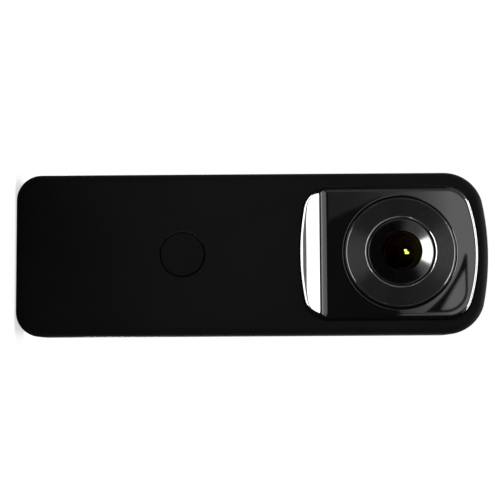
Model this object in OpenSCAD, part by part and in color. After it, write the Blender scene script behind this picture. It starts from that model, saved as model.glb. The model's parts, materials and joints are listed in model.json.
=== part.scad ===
// Stick-shaped 360 degree camera with two fisheye lenses, as an assembly of separate pieces.
// Millimetres, Z up, base on the floor, shutter side towards -Y.

/* [Body] */
// Height of the body from base to top
body_len = 131; // [128:1:140]
// Width of the body
body_w = 45; // [44:0.5:50]
// Thickness of the body between its flat faces
body_t = 17; // [16.5:0.5:20]
// Radius of the arched top end
top_arc_r = 71; // [60:1:100]
// Radius of the two top corners
top_corner_r = 11; // [9:0.5:12]
// Radius of the two base corners
base_corner_r = 7; // [6:0.5:8]
// Radius of the edge between faces and sides
edge_r = 2.5; // [2:0.1:2.8]
// Wall thickness of both shells
wall = 1.6; // [1.4:0.1:1.8]
// Chamfer of each shell along the parting line
seam_chamfer = 0.2; // [0.1:0.05:0.3]
// Height of the locating tongue on the rear shell
tongue_h = 0.8; // [0.6:0.1:1]
// Thickness of the locating tongue
tongue_t = 0.7; // [0.5:0.05:0.8]
// Clearance around the tongue
tongue_gap = 0.1; // [0.05:0.05:0.15]

/* [Lens plate] */
// Distance of the lens axis below the top end
lens_drop = 24.8; // [24.4:0.1:26]
// Width of the lens plate
plate_w = 36.8; // [36.4:0.1:38]
// Length of the lens plate
plate_len = 49.1; // [48:0.1:50]
// Distance of the plate's upper end below the top of the body
plate_end_gap = 3.1; // [2.8:0.1:3.4]
// Radius of the bulged upper end
plate_hi_arc = 45; // [40:1:60]
// Radius of the bulged lower end
plate_lo_arc = 75; // [60:1:100]
// Radius of the four plate corners
plate_corner_r = 7; // [6:0.5:8]
// Height of the plate above the face
plate_rise = 1.8; // [1.5:0.1:2.2]
// Depth of the plate's recess in the shell
plate_seat = 0.8; // [0.6:0.1:0.9]
// Radius of the plate's rounded edge
plate_edge_r = 1.7; // [1.2:0.1:1.9]
// Gap between plate and shell
plate_gap = 0.25; // [0.15:0.05:0.35]
// Length of the ramp at the plate's lower end
ramp_len = 7.9; // [6:0.1:8.5]
// Crease angle where the ramp starts
ramp_crease = 3; // [2:0.5:6]

/* [Lens stack] */
// Outer radius of the grooved ring
ring_r = 15.2; // [14.8:0.1:15.5]
// Gap between ring and plate
ring_gap = 0.2; // [0.15:0.05:0.3]
// Height of the ring's shoulder above the plate
ring_lift = 1.4; // [1:0.1:1.8]
// Slope of the grooved face
ring_slope = 13; // [10:0.5:16]
// Chamfer of the ring's outer edge
ring_chamfer = 0.45; // [0.3:0.05:0.6]
// Number of concentric grooves
ring_grooves = 11; // [6:1:14]
// Depth of the grooves
groove_depth = 0.09; // [0.05:0.01:0.12]
// Radius of the ring's seat flange
ring_flange_r = 16.4; // [16.1:0.1:16.6]
// Radius of the lens opening in the shells
lens_bore_r = 13.6; // [13:0.1:13.8]
// Outer radius of the glossy cone
cone_r = 9; // [8.9:0.05:9.2]
// Dark gap between ring and cone
cone_gap = 0.4; // [0.3:0.05:0.5]
// Slope of the glossy cone
cone_slope = 35.5; // [32:0.5:38]
// Radius of the dome lens
dome_r = 5.25; // [5.1:0.05:5.4]
// Radius of curvature of the dome
dome_sphere_r = 6.9; // [6.5:0.1:8]
// Radius of the barrel's threaded part
barrel_thread_r = 6; // [5.7:0.1:6.2]
// Radius of the barrel's bore
barrel_bore_r = 3.2; // [3:0.1:3.4]

/* [Lens module] */
// Thickness of the lens chassis
chassis_t = 1.6; // [1.4:0.1:1.8]
// Thickness of the thermal pads
pad_t = 0.5; // [0.4:0.1:0.6]
// Thickness of the sensor boards
sensor_board_t = 0.8; // [0.6:0.1:0.9]
// Width of the sensor boards
sensor_board_w = 22; // [21.5:0.1:22.4]
// Width of the square foot of a lens holder
holder_w = 19; // [18.6:0.1:19.4]
// Height of that foot
holder_foot = 2.5; // [2.4:0.1:2.8]
// Distance of the module screws from the lens axis, each way
module_screw = 7.8; // [7.7:0.05:7.9]
// Radius of the module screws
module_screw_r = 0.8; // [0.7:0.05:0.85]
// Radius of the chassis posts under the module screws
module_post_r = 1.6; // [1.4:0.05:1.7]
// Distance of the chassis' lower edge below the lens axis
bay_drop = 20.2; // [19.8:0.1:20.6]
// Distance of the sensor boards' lower edge below the lens axis
sensor_drop = 13; // [12.6:0.1:13.4]
// Length of the sensor boards
sensor_board_l = 24; // [23:0.1:24.4]
// Width of the image sensors
sensor_w = 9; // [8:0.1:9.4]
// Length of the image sensors
sensor_l = 8; // [7:0.1:9]
// Height of the image sensors
sensor_h = 1.1; // [0.9:0.1:1.3]
// Width of the square opening over a sensor
sensor_well = 10.6; // [10:0.1:11]
// Width of the square thermal pads
pad_w = 13; // [12:0.1:14]
// Width of the sensor ribbons
flex_w = 10; // [8:0.5:12]
// Thickness of the sensor ribbons
flex_t = 0.15; // [0.1:0.05:0.2]
// Length of a ribbon's foot on a board
flex_foot = 3.5; // [3:0.1:4]
// Radius of the shell screws
screw_r = 0.95; // [0.8:0.05:1]
// Radius of the shell screws' heads
screw_head_r = 1.85; // [1.7:0.05:1.95]
// Depth of the shell screws in the front shell
screw_bite = 4.4; // [4:0.1:4.6]
// Radius of the bosses around the shell screws
shell_boss_r = 2.6; // [2.4:0.1:2.8]
// Lower shell screws: distance from the middle
screw_lo_u = 14.6; // [14.4:0.1:14.8]
// Lower shell screws: distance below the lens axis
screw_lo_drop = 17.7; // [17.5:0.1:17.9]
// Upper shell screws: distance from the middle
screw_hi_u = 13.2; // [13:0.1:13.4]
// Upper shell screws: distance above the lens axis
screw_hi_rise = 15.8; // [15.6:0.1:16]

/* [Controls] */
// Height of the shutter button above the base
button_v = 46.3; // [40:0.1:49]
// Radius of the shutter button
button_r = 6.15; // [5.5:0.05:7]
// Gap around the shutter button
button_gap = 0.23; // [0.18:0.01:0.3]
// Travel of the shutter button
button_travel = 0.4; // [0.2:0.05:0.45]
// Width of the shutter button's flange under the wall
button_flange = 0.85; // [0.7:0.05:1]
// Width of the square shutter switch
switch_w = 6; // [5.5:0.1:6.5]
// Height of the shutter switch
switch_h = 2; // [1.8:0.1:2.2]
// Radius of the shutter plunger
plunger_r = 1.75; // [1.6:0.05:1.9]
// Length of the side keys
key_len = 9; // [7:0.5:10]
// Width of the side keys
key_w = 3.6; // [3:0.1:4.4]
// Gap around the side keys
key_gap = 0.2; // [0.15:0.05:0.3]
// Travel of the side keys
key_travel = 0.3; // [0.2:0.05:0.35]
// Width of the side keys' flange behind the wall
key_flange = 1; // [0.8:0.1:1.2]
// Thickness of that flange
key_flange_t = 0.7; // [0.6:0.05:0.8]
// Length of the side switches along the body
side_switch_l = 4.6; // [4:0.1:5]
// Depth of the side switches
side_switch_d = 3.1; // [2.8:0.1:3.2]
// Radius of the side plungers
side_plunger_r = 0.7; // [0.6:0.05:0.75]
// Height of the power key above the base
power_v = 59.5; // [57:0.5:60.5]
// Height of the mode key above the base
mode_v = 45; // [40:0.5:46]
// Height of the status light above the base
light_v = 67.5; // [67:0.5:69]
// Radius of the status light pipe
light_r = 0.8; // [0.6:0.1:1]

/* [Electronics] */
// Main board: distance of its rear face in front of the middle plane
board_rear = 1.2; // [1.1:0.05:1.3]
// Main board: thickness
board_t = 1; // [0.8:0.1:1.1]
// Main board: gap to the body's outside on both sides
board_gap = 4; // [3.8:0.1:4.2]
// Main board: height of its lower edge above the base
board_lo = 13; // [12.5:0.1:13.5]
// Battery: width
battery_w = 30; // [26:0.5:30]
// Battery: length
battery_l = 54; // [40:1:54]
// Battery: thickness
battery_t = 5.5; // [4.5:0.1:5.5]
// Adhesive pad under the battery
battery_pad_t = 0.3; // [0.2:0.05:0.4]
// Battery: radius of its corners
battery_corner_r = 2; // [1:0.1:3]
// Battery lead: width
lead_w = 4; // [3:0.1:5]
// Battery lead: distance from the middle
lead_u = 10; // [9:0.1:11]
// Battery lead: length of its feet on battery and board
lead_foot = 1; // [0.8:0.1:1.4]
// Processor shield: width
shield_w = 22; // [20:0.1:22.4]
// Processor shield: length
shield_l = 16; // [14.5:0.1:16.2]
// Processor shield: height
shield_h = 1.8; // [1.6:0.1:2]
// Processor shield: wall
shield_t = 0.2; // [0.15:0.05:0.3]
// Processor: width of the square chip
cpu_w = 12; // [10:0.1:13]
// Processor: height
cpu_h = 1.2; // [1:0.1:1.3]
// Memory chip: width of the square chip
memory_w = 7; // [6:0.1:7.5]
// Memory chip: height
memory_h = 1.4; // [1:0.1:1.6]
// Power chip: width
power_chip_w = 8; // [7:0.1:8.5]
// Power chip: length
power_chip_l = 10; // [8:0.1:10.5]
// Radio chip: width of the square chip
radio_w = 6; // [5:0.1:6.5]
// Height of the power and radio chips
chip_h = 0.9; // [0.8:0.1:1.2]
// Status lamp: length
lamp_l = 1.6; // [1.2:0.1:1.8]
// Antenna: length
antenna_l = 18; // [15:0.5:19]
// Antenna: width
antenna_w = 4; // [3:0.1:4.4]
// Antenna: thickness
antenna_t = 0.2; // [0.15:0.05:0.2]
// Radius of the board screws' bosses
boss_r = 2.2; // [2:0.1:2.4]
// Radius of the board screws
board_screw_r = 0.7; // [0.6:0.05:0.75]
// Radius of the board screws' heads
board_head_r = 1.5; // [1.3:0.05:1.6]
// Distance of the board screws from the board's ends
board_screw_end = 5; // [4.6:0.1:5.4]
// Distance of the board screws from the board's sides
board_screw_side = 2.3; // [2.2:0.05:2.4]
// Memory card: width
card_w = 11; // [10.8:0.1:11.2]
// Memory card: length
card_l = 15; // [14.6:0.1:15.2]
// Memory card: thickness
card_t = 0.7; // [0.6:0.05:0.8]
// Clearance around the memory card
card_gap = 0.2; // [0.15:0.05:0.25]
// Memory card socket: length
card_socket_l = 14.4; // [14.2:0.1:14.8]
// Memory card socket: width
card_socket_w = 14; // [13.4:0.1:14.4]
// Memory card socket: thickness
card_socket_t = 1.4; // [1.35:0.05:1.6]
// Height of the memory card's middle above the base
card_v = 31; // [28:0.5:33]
// Microphone: length
mic_l = 3.5; // [3:0.1:4]
// Microphone: depth
mic_d = 2.6; // [2.2:0.1:2.6]
// Microphone: height
mic_h = 1; // [0.8:0.1:1.2]
// Radius of the sound hole
mic_hole_r = 0.5; // [0.4:0.05:0.6]
// Rubber sleeve of the microphone: length
boot_l = 2.8; // [2.4:0.1:3.2]
// Rubber sleeve of the microphone: height
boot_h = 1.8; // [1.6:0.1:2]
// Height of the microphone above the base
mic_v = 56; // [50:0.5:58]

/* [Base fittings] */
// Wall radius of the quarter inch tripod thread
tripod_bore_r = 2.55; // [2.5:0.01:2.6]
// Depth of the tripod thread
tripod_depth = 6.5; // [5.5:0.1:7]
// Outer radius of the tripod socket
tripod_r = 4.6; // [4.4:0.1:4.7]
// Height of the tripod socket
tripod_h = 8; // [7.8:0.1:8.4]
// Radius of the socket's flange
tripod_flange_r = 5.5; // [5.3:0.1:5.6]
// Height of the socket's flange
tripod_flange_t = 1; // [0.8:0.1:1.2]
// Height at which the shells' rib grips the socket
tripod_rib_v = 3; // [2.8:0.1:3.2]
// Height of that rib's groove
tripod_rib_t = 1.5; // [1.3:0.1:1.7]
// Depth of that rib's groove
tripod_rib_d = 0.75; // [0.7:0.05:0.85]
// Wall of the pocket around the socket
tripod_wall = 2.6; // [2.2:0.1:2.8]
// Distance of the USB port from the middle
usb_u = 13; // [12.8:0.1:13.2]
// USB port: outer width of its shell
usb_w = 8.94; // [8.9:0.01:9]
// USB port: outer thickness of its shell
usb_t = 3.2; // [3.1:0.05:3.3]
// USB port: wall of its shell
usb_wall = 0.3; // [0.25:0.01:0.35]
// USB port: length of its shell
usb_l = 7.3; // [7:0.1:7.6]
// USB port: gap to the shells' opening
usb_gap = 0.23; // [0.18:0.01:0.3]
// USB port: width of its tongue
usb_tongue_w = 6.6; // [6.4:0.1:6.8]
// USB port: thickness of its tongue
usb_tongue_t = 0.7; // [0.6:0.05:0.8]
// USB port: depth of its tongue behind the mouth
usb_tongue_in = 1.2; // [1:0.1:1.4]

/* [Hidden] */
$fn = 96;

// Body outline
hw = body_w / 2;
face = body_t / 2;
ceil_w = face - wall;
// Outlines: half width, low end, high end, low corner, high corner, low arc or 0 if flat, high arc
BODY = [hw, 0, body_len, base_corner_r, top_corner_r, 0, top_arc_r];

// Lens plate levels
lens_v = body_len - lens_drop;
plate_hi = body_len - plate_end_gap;
plate_lo = plate_hi - plate_len;
seat_w = face - plate_seat;
plate_top = face + plate_rise;
PLATE = [plate_w / 2, plate_lo, plate_hi, plate_corner_r, plate_corner_r, plate_lo_arc, plate_hi_arc];
ramp_v = plate_lo + ramp_len;
ramp_lip = 0.1;
ramp_drop = plate_rise - ramp_lip;
ramp_end = 2 * atan(ramp_drop / ramp_len) - ramp_crease;
ramp_r = ramp_len / (sin(ramp_end) - sin(ramp_crease));

// Lens stack levels
ring_shoulder = plate_top + ring_lift;
ring_start_r = ring_r - ring_chamfer;
ring_bore_r = cone_r + cone_gap;
ring_rim = 0.35;
ring_rim_r = ring_bore_r + ring_rim;
ring_inner_w = ring_shoulder + (ring_start_r - ring_rim_r) * tan(ring_slope);
ring_lip = 1.3;
ring_skirt = 1.9;
ring_flange_t = 0.7;
flange_gap = 0.15;
seal_lap = 1.2;
seal_r = ring_bore_r + seal_lap;
seal_t = 0.8;
seal_top = ring_under(seal_r) - 0.05;
cone_wall = 0.6;
barrel_r = cone_r - cone_wall;
barrel_lap = 0.4;
barrel_flange_r = ring_bore_r + barrel_lap;
barrel_flange_lo = face - 0.1;
shoulder_w = seal_top - seal_t;
cone_lo = seal_top + 0.2;
cone_sink = 0.35;
cone_base_w = ring_inner_w - cone_sink;
cone_lip = 0.3;
cone_tip_r = dome_r + cone_lip;
cone_tip_w = cone_base_w + (cone_r - cone_tip_r) * tan(cone_slope);
barrel_sink = 0.5;
barrel_top = cone_base_w - barrel_sink;
neck_drop = 1.45;
neck_w = cone_tip_w - neck_drop;
neck_r = dome_r - 0.05;
neck_wall = 1;
element_r = neck_r - neck_wall;
element_t = 2.6;
hollow_r = 5;
element_h = 3.4;
element_sphere_r = 7;
relay_t = 2.2;
relay_sphere_r = 6;
field_t = 2;
field_sphere_r = 7;
dome_edge_w = cone_tip_w - 0.05;
dome_sag = dome_sphere_r - sqrt(pow(dome_sphere_r, 2) - pow(dome_r, 2));
dome_top = dome_edge_w + dome_sag;

// Lens module levels
chassis_w = chassis_t / 2;
chassis_inset = 0.8;
sensor_rear = chassis_w + pad_t;
sensor_face = sensor_rear + sensor_board_t;
sensor_lo = lens_v - sensor_drop;
holder_top = barrel_flange_lo - 0.2;
holder_foot_w = sensor_face + holder_foot;
holder_wall = 1.4;
well_h = 1.9;
barrel_lo = holder_foot_w - 0.2;
bay_v = lens_v - bay_drop;
shell_screw_lo = [screw_lo_u, lens_v - screw_lo_drop];
shell_screw_hi = [screw_hi_u, lens_v + screw_hi_rise];
screw_head_t = 1.1;
screw_drive_r = 0.8;
small_drive_r = 0.6;
small_head_r = 1.5;
small_head_t = 1;
head_gap = 0.1;

// Main board and what stands on it
board_front = board_rear + board_t;
board_u = hw - board_gap;
board_end_gap = 4;
board_hi = bay_v - board_end_gap;
board_screw = [for (v = [board_lo + board_screw_end, board_hi - board_screw_end]) for (s = [-1, 1]) [s, v]];
board_screw_u = board_u - board_screw_side;
board_screw_bite = 3.1;
board_tab_u = 7.7;
board_tab_v = 4.5;
board_head_t = 0.9;
shield_v = (button_v + switch_w / 2 + board_hi - flex_foot) / 2;
chip_lo = board_lo + 10;
chip_in = 4;
memory_u = board_u - 3 - memory_w;
lamp_d = 1.2;
lamp_h = 1.8;
press_gap = 0.1;
switch_floor = 0.5;
plunger_lo = board_front + switch_floor + button_travel + press_gap;
plunger_top = board_front + switch_h + button_travel + press_gap;
stem_r = 1.5;
button_flange_t = 0.7;
button_flange_w = ceil_w - 0.1;
battery_v = board_lo + 4;
battery_rear = -ceil_w + battery_pad_t;
battery_front = battery_rear + battery_t;
switch_u = board_u - 0.1;
key_in = hw - wall - 0.15;
key_clear = 0.3;
side_pocket = 1.4;
key_touch = switch_u + key_travel + key_clear;
side_hole_r = side_plunger_r + 0.15;
side_switch_rear = -side_hole_r - 0.1;
nub_r = 1;
card_mid = board_rear - 0.7;
card_out = hw - 0.2;
card_cut = 0.8;
card_step = 1;
mic_w = board_front + mic_h / 2;
usb_mid = board_rear - 1.6;
usb_lo = 0.6;
tripod_lead = 0.35;
usb_back = 0.9;

// Colours of the pieces
SHELL_C = [0.09, 0.09, 0.095];
GLOSS_C = [0.03, 0.03, 0.035];
RING_C = [0.22, 0.22, 0.23];
GLASS_C = [0.16, 0.12, 0.22];
RUBBER_C = [0.05, 0.05, 0.05];
BOARD_C = [0.06, 0.26, 0.13];
CHIP_C = [0.12, 0.12, 0.13];
METAL_C = [0.72, 0.72, 0.74];
ALLOY_C = [0.55, 0.56, 0.58];
BRASS_C = [0.78, 0.6, 0.28];
CELL_C = [0.6, 0.62, 0.65];
FLEX_C = [0.75, 0.45, 0.12];
PAD_C = [0.45, 0.6, 0.72];

// Underside of the grooved ring at radius r
function ring_under(r) = (ring_inner_w - ring_lip)
    - (r - ring_bore_r) * (ring_inner_w - ring_lip - ring_shoulder + ring_skirt) / (lens_bore_r - ring_bore_r);

// Height of the grooved face at radius r
function ring_line(r) = ring_shoulder + (ring_start_r - r) * tan(ring_slope);

// Places a piece drawn as (across, up, outwards) on the front or on the rear
module front() { rotate([90, 0, 0]) children(); }
module rear() { rotate([0, 0, 180]) rotate([90, 0, 0]) children(); }

// Draws a section (up, outwards) and runs it across, centred on the middle
module across(width) { rotate([90, 0, 90]) linear_extrude(height = width, center = true) children(); }

// Draws a section (across, outwards) and runs it upwards from v0 to v1
module upwards(v0, v1) { translate([0, v1, 0]) rotate([90, 0, 0]) linear_extrude(height = v1 - v0) children(); }

// Turned piece whose axis points upwards
module turned_up() { rotate([-90, 0, 0]) rotate_extrude() children(); }

// Corners of an outline: k is 0 at the low end and 1 at the high end
function corner_u(p, k) = p[0] - p[3 + k];

// Centre of an end's arc
function arc_v(p, k) = k == 1 ? p[2] - p[6] : p[1] + p[5];

// Centre of the corners, a hair beyond the point where corner and arc would be tangent
function corner_v(p, k) = let (
    side = k == 1 ? 1 : -1,
    flat = k == 1 ? p[2] - p[4] : p[1] + p[3],
    drop = p[5 + k] > 0 ? sqrt(pow(p[5 + k] - p[3 + k], 2) - pow(corner_u(p, k), 2)) : 0
) p[5 + k] > 0 ? side * (ceil(100 * side * (arc_v(p, k) + side * drop)) / 100 + 0.04) : flat;

// Half width of the block under an end's arc, drawn in by d
function cap_u(p, k, d) = p[5 + k] > 0
    ? round(100 * (corner_u(p, k) * (1 + (p[3 + k] - d) / (p[5 + k] - p[3 + k])))) / 100
    : corner_u(p, k);

// Quarter of a disc
module quarter(r) {
    intersection() {
        circle(r);
        square(r + 1);
    }
}

// Outline before its arcs are cut, drawn in by d
module blank(p, d) {
    lv = corner_v(p, 0);
    hv = corner_v(p, 1);
    translate([-p[0] + d, lv]) square([2 * (p[0] - d), hv - lv]);
    for (s = [0, 1]) mirror([s, 0]) {
        translate([corner_u(p, 1), hv]) quarter(p[4] - d);
        translate([corner_u(p, 0), lv]) mirror([0, 1]) quarter(p[3] - d);
    }
    low = p[5] > 0 ? p[1] - 3 : p[1] + d;
    translate([-cap_u(p, 1, d), hv - 1]) square([2 * cap_u(p, 1, d), p[2] + 3 - hv + 1]);
    translate([-cap_u(p, 0, d), low]) square([2 * cap_u(p, 0, d), lv - low + 1]);
}

// Outline with bulged ends and round corners, drawn in by d
module bulged(p, d) {
    if (p[5] > 0) {
        intersection() {
            blank(p, d);
            translate([0, arc_v(p, 1)]) circle(p[6] - d);
            translate([0, arc_v(p, 0)]) circle(p[5] - d);
        }
    } else {
        intersection() {
            blank(p, d);
            translate([0, arc_v(p, 1)]) circle(p[6] - d);
        }
    }
}

// Section of a rim: flat inside, rounded by e at the top edge, chamfered by c at the foot
module rim(reach, h, e, c) {
    square([reach - e, h]);
    polygon([[reach - e, 0], [reach - c, 0], [reach, c], [reach, h - e], [reach - e, h - e]]);
    translate([reach - e, h - e]) quarter(e);
}

// Slab with rounded upper edges before its arcs are cut
module slab(p, h, e, c) {
    lv = corner_v(p, 0);
    hv = corner_v(p, 1);
    reach = e + 1;
    translate([-p[0] + reach, lv, 0]) cube([2 * (p[0] - reach), hv - lv, h]);
    for (s = [0, 1]) mirror([s, 0, 0]) {
        translate([p[0] - reach, 0, 0]) upwards(lv, hv) rim(reach, h, e, c);
        translate([corner_u(p, 1), hv, 0]) rotate_extrude(angle = 90) rim(p[4], h, e, c);
        translate([corner_u(p, 0), lv, 0]) rotate([0, 0, -90]) rotate_extrude(angle = 90) rim(p[3], h, e, c);
    }
    hi_u = cap_u(p, 1, 0);
    lo_u = cap_u(p, 0, 0);
    translate([-hi_u, hv - 1, 0]) cube([2 * hi_u, p[2] + 3 - hv + 1, h]);
    if (p[5] > 0) {
        translate([-lo_u, p[1] - 3, 0]) cube([2 * lo_u, lv + 1 - p[1] + 3, h]);
    } else {
        translate([-lo_u, p[1] + reach, 0]) cube([2 * lo_u, lv - p[1] - reach, h]);
        across(2 * lo_u) translate([p[1] + reach, 0]) mirror([1, 0]) rim(reach, h, e, c);
    }
}

// Disc with a rounded edge that gives an end its arc
module end_disc(p, k, h, e, c) {
    translate([0, arc_v(p, k), 0]) rotate_extrude() rim(p[5 + k], h, e, c);
}

// Slab on an outline from 0 to h with a rounded upper edge
module pillow(p, h, e, c) {
    if (p[5] > 0) {
        intersection() {
            slab(p, h, e, c);
            end_disc(p, 1, h, e, c);
            end_disc(p, 0, h, e, c);
        }
    } else {
        intersection() {
            slab(p, h, e, c);
            end_disc(p, 1, h, e, c);
        }
    }
}

// Half of the housing: hollow slab with its bosses, before openings
module half_shell() {
    difference() {
        pillow(BODY, face, edge_r, seam_chamfer);
        translate([0, 0, -1]) linear_extrude(height = ceil_w + 1) bulged(BODY, wall);
    }
    translate([0, lens_v, ceil_w - 1]) cylinder(r = lens_bore_r + 2.4, h = 1.2);
    intersection() {
        translate([0, 1.2, 0]) rotate([-90, 0, 0]) cylinder(r = tripod_r + tripod_wall, h = tripod_h - 1.2);
        translate([-tripod_r - 5.4, 0, 0]) cube([2 * tripod_r + 10.8, tripod_h + 1, face - 1]);
    }
    for (s = [-1, 1]) for (p = [shell_screw_lo, shell_screw_hi])
        translate([s * p[0], p[1], chassis_w]) cylinder(r = shell_boss_r, h = ceil_w - chassis_w + 0.2);
}

// Recess for the lens plate and opening for the lens
module lens_cuts() {
    translate([0, 0, seat_w]) linear_extrude(height = plate_seat + 1) bulged(PLATE, -plate_gap);
    translate([0, lens_v, ceil_w - 3]) cylinder(r = lens_bore_r, h = wall + 4);
}

// Rounded slot section, long way first
module pill(l, w) {
    square([l - w, w], center = true);
    for (s = [-1, 1]) translate([s * (l - w) / 2, 0]) circle(w / 2);
}

// Openings that cross the parting line
module edge_cuts() {
    // Side keys and status light
    for (v = [power_v, mode_v])
        translate([hw - wall / 2, v, 0]) across(wall + 2) pill(key_len + 2 * key_gap, key_w + 2 * key_gap);
    translate([hw - wall - 1, light_v, 0]) rotate([0, 90, 0]) cylinder(r = light_r + 0.05, h = wall + 2);
    // Memory card slot
    translate([-hw - 1, card_v - card_w / 2 - card_gap, card_mid - card_t / 2 - card_gap])
        cube([wall + 2, card_w + 2 * card_gap, card_t + 2 * card_gap]);
    // USB port
    translate([usb_u, 0, usb_mid]) upwards(-1, usb_lo + usb_l + 0.2)
        pill(usb_w + 2 * usb_gap, usb_t + 2 * usb_gap + 0.04);
    // Tripod socket with its retaining rib
    translate([0, -1, 0]) rotate([-90, 0, 0]) cylinder(r = tripod_flange_r + 0.1, h = tripod_flange_t + 1.05);
    translate([0, tripod_flange_t, 0]) rotate([-90, 0, 0])
        cylinder(r = tripod_r + 0.1, h = tripod_rib_v - tripod_flange_t + 0.1);
    translate([0, tripod_rib_v, 0]) rotate([-90, 0, 0])
        cylinder(r = tripod_r - tripod_rib_d + 0.15, h = tripod_rib_t);
    translate([0, tripod_rib_v + tripod_rib_t - 0.1, 0]) rotate([-90, 0, 0])
        cylinder(r = tripod_r + 0.1, h = tripod_h - tripod_rib_v - tripod_rib_t + 0.5);
}

module front_shell() {
    color(SHELL_C) front() difference() {
        union() {
            half_shell();
            // Bosses for the main board
            for (b = board_screw)
                translate([b[0] * board_screw_u, b[1], board_front])
                    cylinder(r = boss_r, h = ceil_w - board_front + 0.2);
        }
        lens_cuts();
        edge_cuts();
        // Rebate for the tongue of the rear shell
        translate([0, 0, -1]) linear_extrude(height = tongue_h + tongue_gap + 1)
            bulged(BODY, wall - tongue_t - tongue_gap);
        // Shutter button and microphone
        translate([0, button_v, ceil_w - 1]) cylinder(r = button_r + button_gap, h = wall + 2);
        translate([-hw - 1, mic_v, mic_w]) rotate([0, 90, 0]) cylinder(r = mic_hole_r, h = wall + 2);
        // Pilot holes
        for (b = board_screw)
            translate([b[0] * board_screw_u, b[1], board_front - 1])
                cylinder(r = board_screw_r + 0.05, h = board_screw_bite + 1.3);
        for (s = [-1, 1]) for (p = [shell_screw_lo, shell_screw_hi])
            translate([s * p[0], p[1], -1]) cylinder(r = screw_r + 0.05, h = ceil_w - 0.6);
    }
}

module rear_shell() {
    color(SHELL_C) difference() {
        rear() difference() {
            union() {
                half_shell();
                // Locating tongue
                translate([0, 0, -tongue_h]) linear_extrude(height = tongue_h + 0.6) difference() {
                    bulged(BODY, wall - tongue_t);
                    bulged(BODY, wall);
                }
            }
            lens_cuts();
            // Screw holes with sunk heads
            for (s = [-1, 1]) for (p = [shell_screw_lo, shell_screw_hi]) translate([s * p[0], p[1], 0]) {
                cylinder(r = screw_r + 0.15, h = face);
                translate([0, 0, seat_w - screw_head_t - head_gap]) cylinder(r = screw_head_r + 0.15, h = 3);
            }
        }
        front() edge_cuts();
    }
}

// Glossy plate with rounded edges and a ramp at its lower end
module lens_plate() {
    difference() {
        translate([0, 0, seat_w]) pillow(PLATE, plate_rise + plate_seat, plate_edge_r, 0.05);
        across(body_w) difference() {
            translate([plate_lo - 2, face - 1]) square([ramp_len + 2, plate_rise + 3]);
            translate([ramp_v + ramp_r * sin(ramp_crease), plate_top - ramp_r * cos(ramp_crease)])
                circle(ramp_r, $fn = 360);
        }
        translate([0, lens_v, seat_w - 1]) cylinder(r = ring_r + ring_gap, h = plate_rise + plate_seat + 2);
        translate([0, lens_v, plate_top - 0.45])
            cylinder(r1 = ring_r + ring_gap, r2 = ring_r + ring_gap + 0.6, h = 0.6);
        translate([0, lens_v, seat_w - 1])
            cylinder(r = ring_flange_r + flange_gap, h = ring_flange_t + 0.1 + 1);
    }
}

// Satin ring with fine concentric grooves
module lens_ring() {
    r0 = ring_start_r - 0.15;
    pitch = (r0 - ring_rim_r - 0.15) / ring_grooves;
    translate([0, lens_v, 0]) rotate_extrude() polygon(concat(
        [
            [lens_bore_r, seat_w],
            [ring_flange_r, seat_w],
            [ring_flange_r, seat_w + ring_flange_t],
            [ring_r, seat_w + ring_flange_t],
            [ring_r, ring_shoulder - ring_chamfer],
            [ring_start_r, ring_shoulder]
        ],
        [
            for (i = [0 : ring_grooves - 1]) for (k = [0, 1]) let (r = r0 - (i + k / 2) * pitch)
                [r, ring_line(r) - k * groove_depth]
        ],
        [
            [r0 - ring_grooves * pitch, ring_line(r0 - ring_grooves * pitch)],
            [ring_rim_r, ring_inner_w],
            [ring_bore_r + 0.12, ring_inner_w + 0.03],
            [ring_bore_r, ring_inner_w - 0.12],
            [ring_bore_r, ring_inner_w - ring_lip],
            [lens_bore_r, ring_shoulder - ring_skirt]
        ]
    ));
}

// Glossy cone that retains the dome lens
module lens_cone() {
    translate([0, lens_v, 0]) rotate_extrude() polygon([
        [barrel_r + 0.1, cone_lo],
        [cone_r, cone_lo],
        [cone_r, cone_base_w],
        [cone_tip_r, cone_tip_w],
        [dome_r + 0.07, cone_tip_w],
        [dome_r + 0.07, barrel_top + 0.1],
        [barrel_r + 0.1, barrel_top + 0.1]
    ]);
}

// Front element with a hollow underside
module dome_glass() {
    translate([0, lens_v, 0]) rotate_extrude() difference() {
        intersection() {
            translate([0, dome_top - dome_sphere_r]) circle(dome_sphere_r);
            translate([0, neck_w]) square([dome_r, dome_top - neck_w + 1]);
        }
        translate([0, neck_w - element_t]) circle(hollow_r);
    }
}

// Rubber ring that closes the gap around the cone
module dust_seal() {
    translate([0, lens_v, shoulder_w]) difference() {
        cylinder(r = seal_r, h = seal_t);
        translate([0, 0, -1]) cylinder(r = barrel_r + 0.05, h = seal_t + 2);
    }
}

// Barrel that carries the lens elements
module lens_barrel() {
    translate([0, lens_v, 0]) rotate_extrude() polygon([
        [barrel_bore_r, barrel_lo],
        [barrel_thread_r, barrel_lo],
        [barrel_thread_r, barrel_flange_lo],
        [barrel_flange_r, barrel_flange_lo],
        [barrel_flange_r, shoulder_w],
        [barrel_r, shoulder_w],
        [barrel_r, barrel_top],
        [neck_r, barrel_top],
        [neck_r, neck_w],
        [element_r, neck_w],
        [element_r, neck_w - element_t],
        [barrel_bore_r, neck_w - element_t]
    ]);
}

// Lens with two round faces
module biconvex(mid, thick, sphere, r) {
    translate([0, lens_v, mid]) rotate_extrude() intersection() {
        translate([0, thick / 2 - sphere]) circle(sphere);
        translate([0, sphere - thick / 2]) circle(sphere);
        translate([0, -thick]) square([r, 2 * thick]);
    }
}

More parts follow.
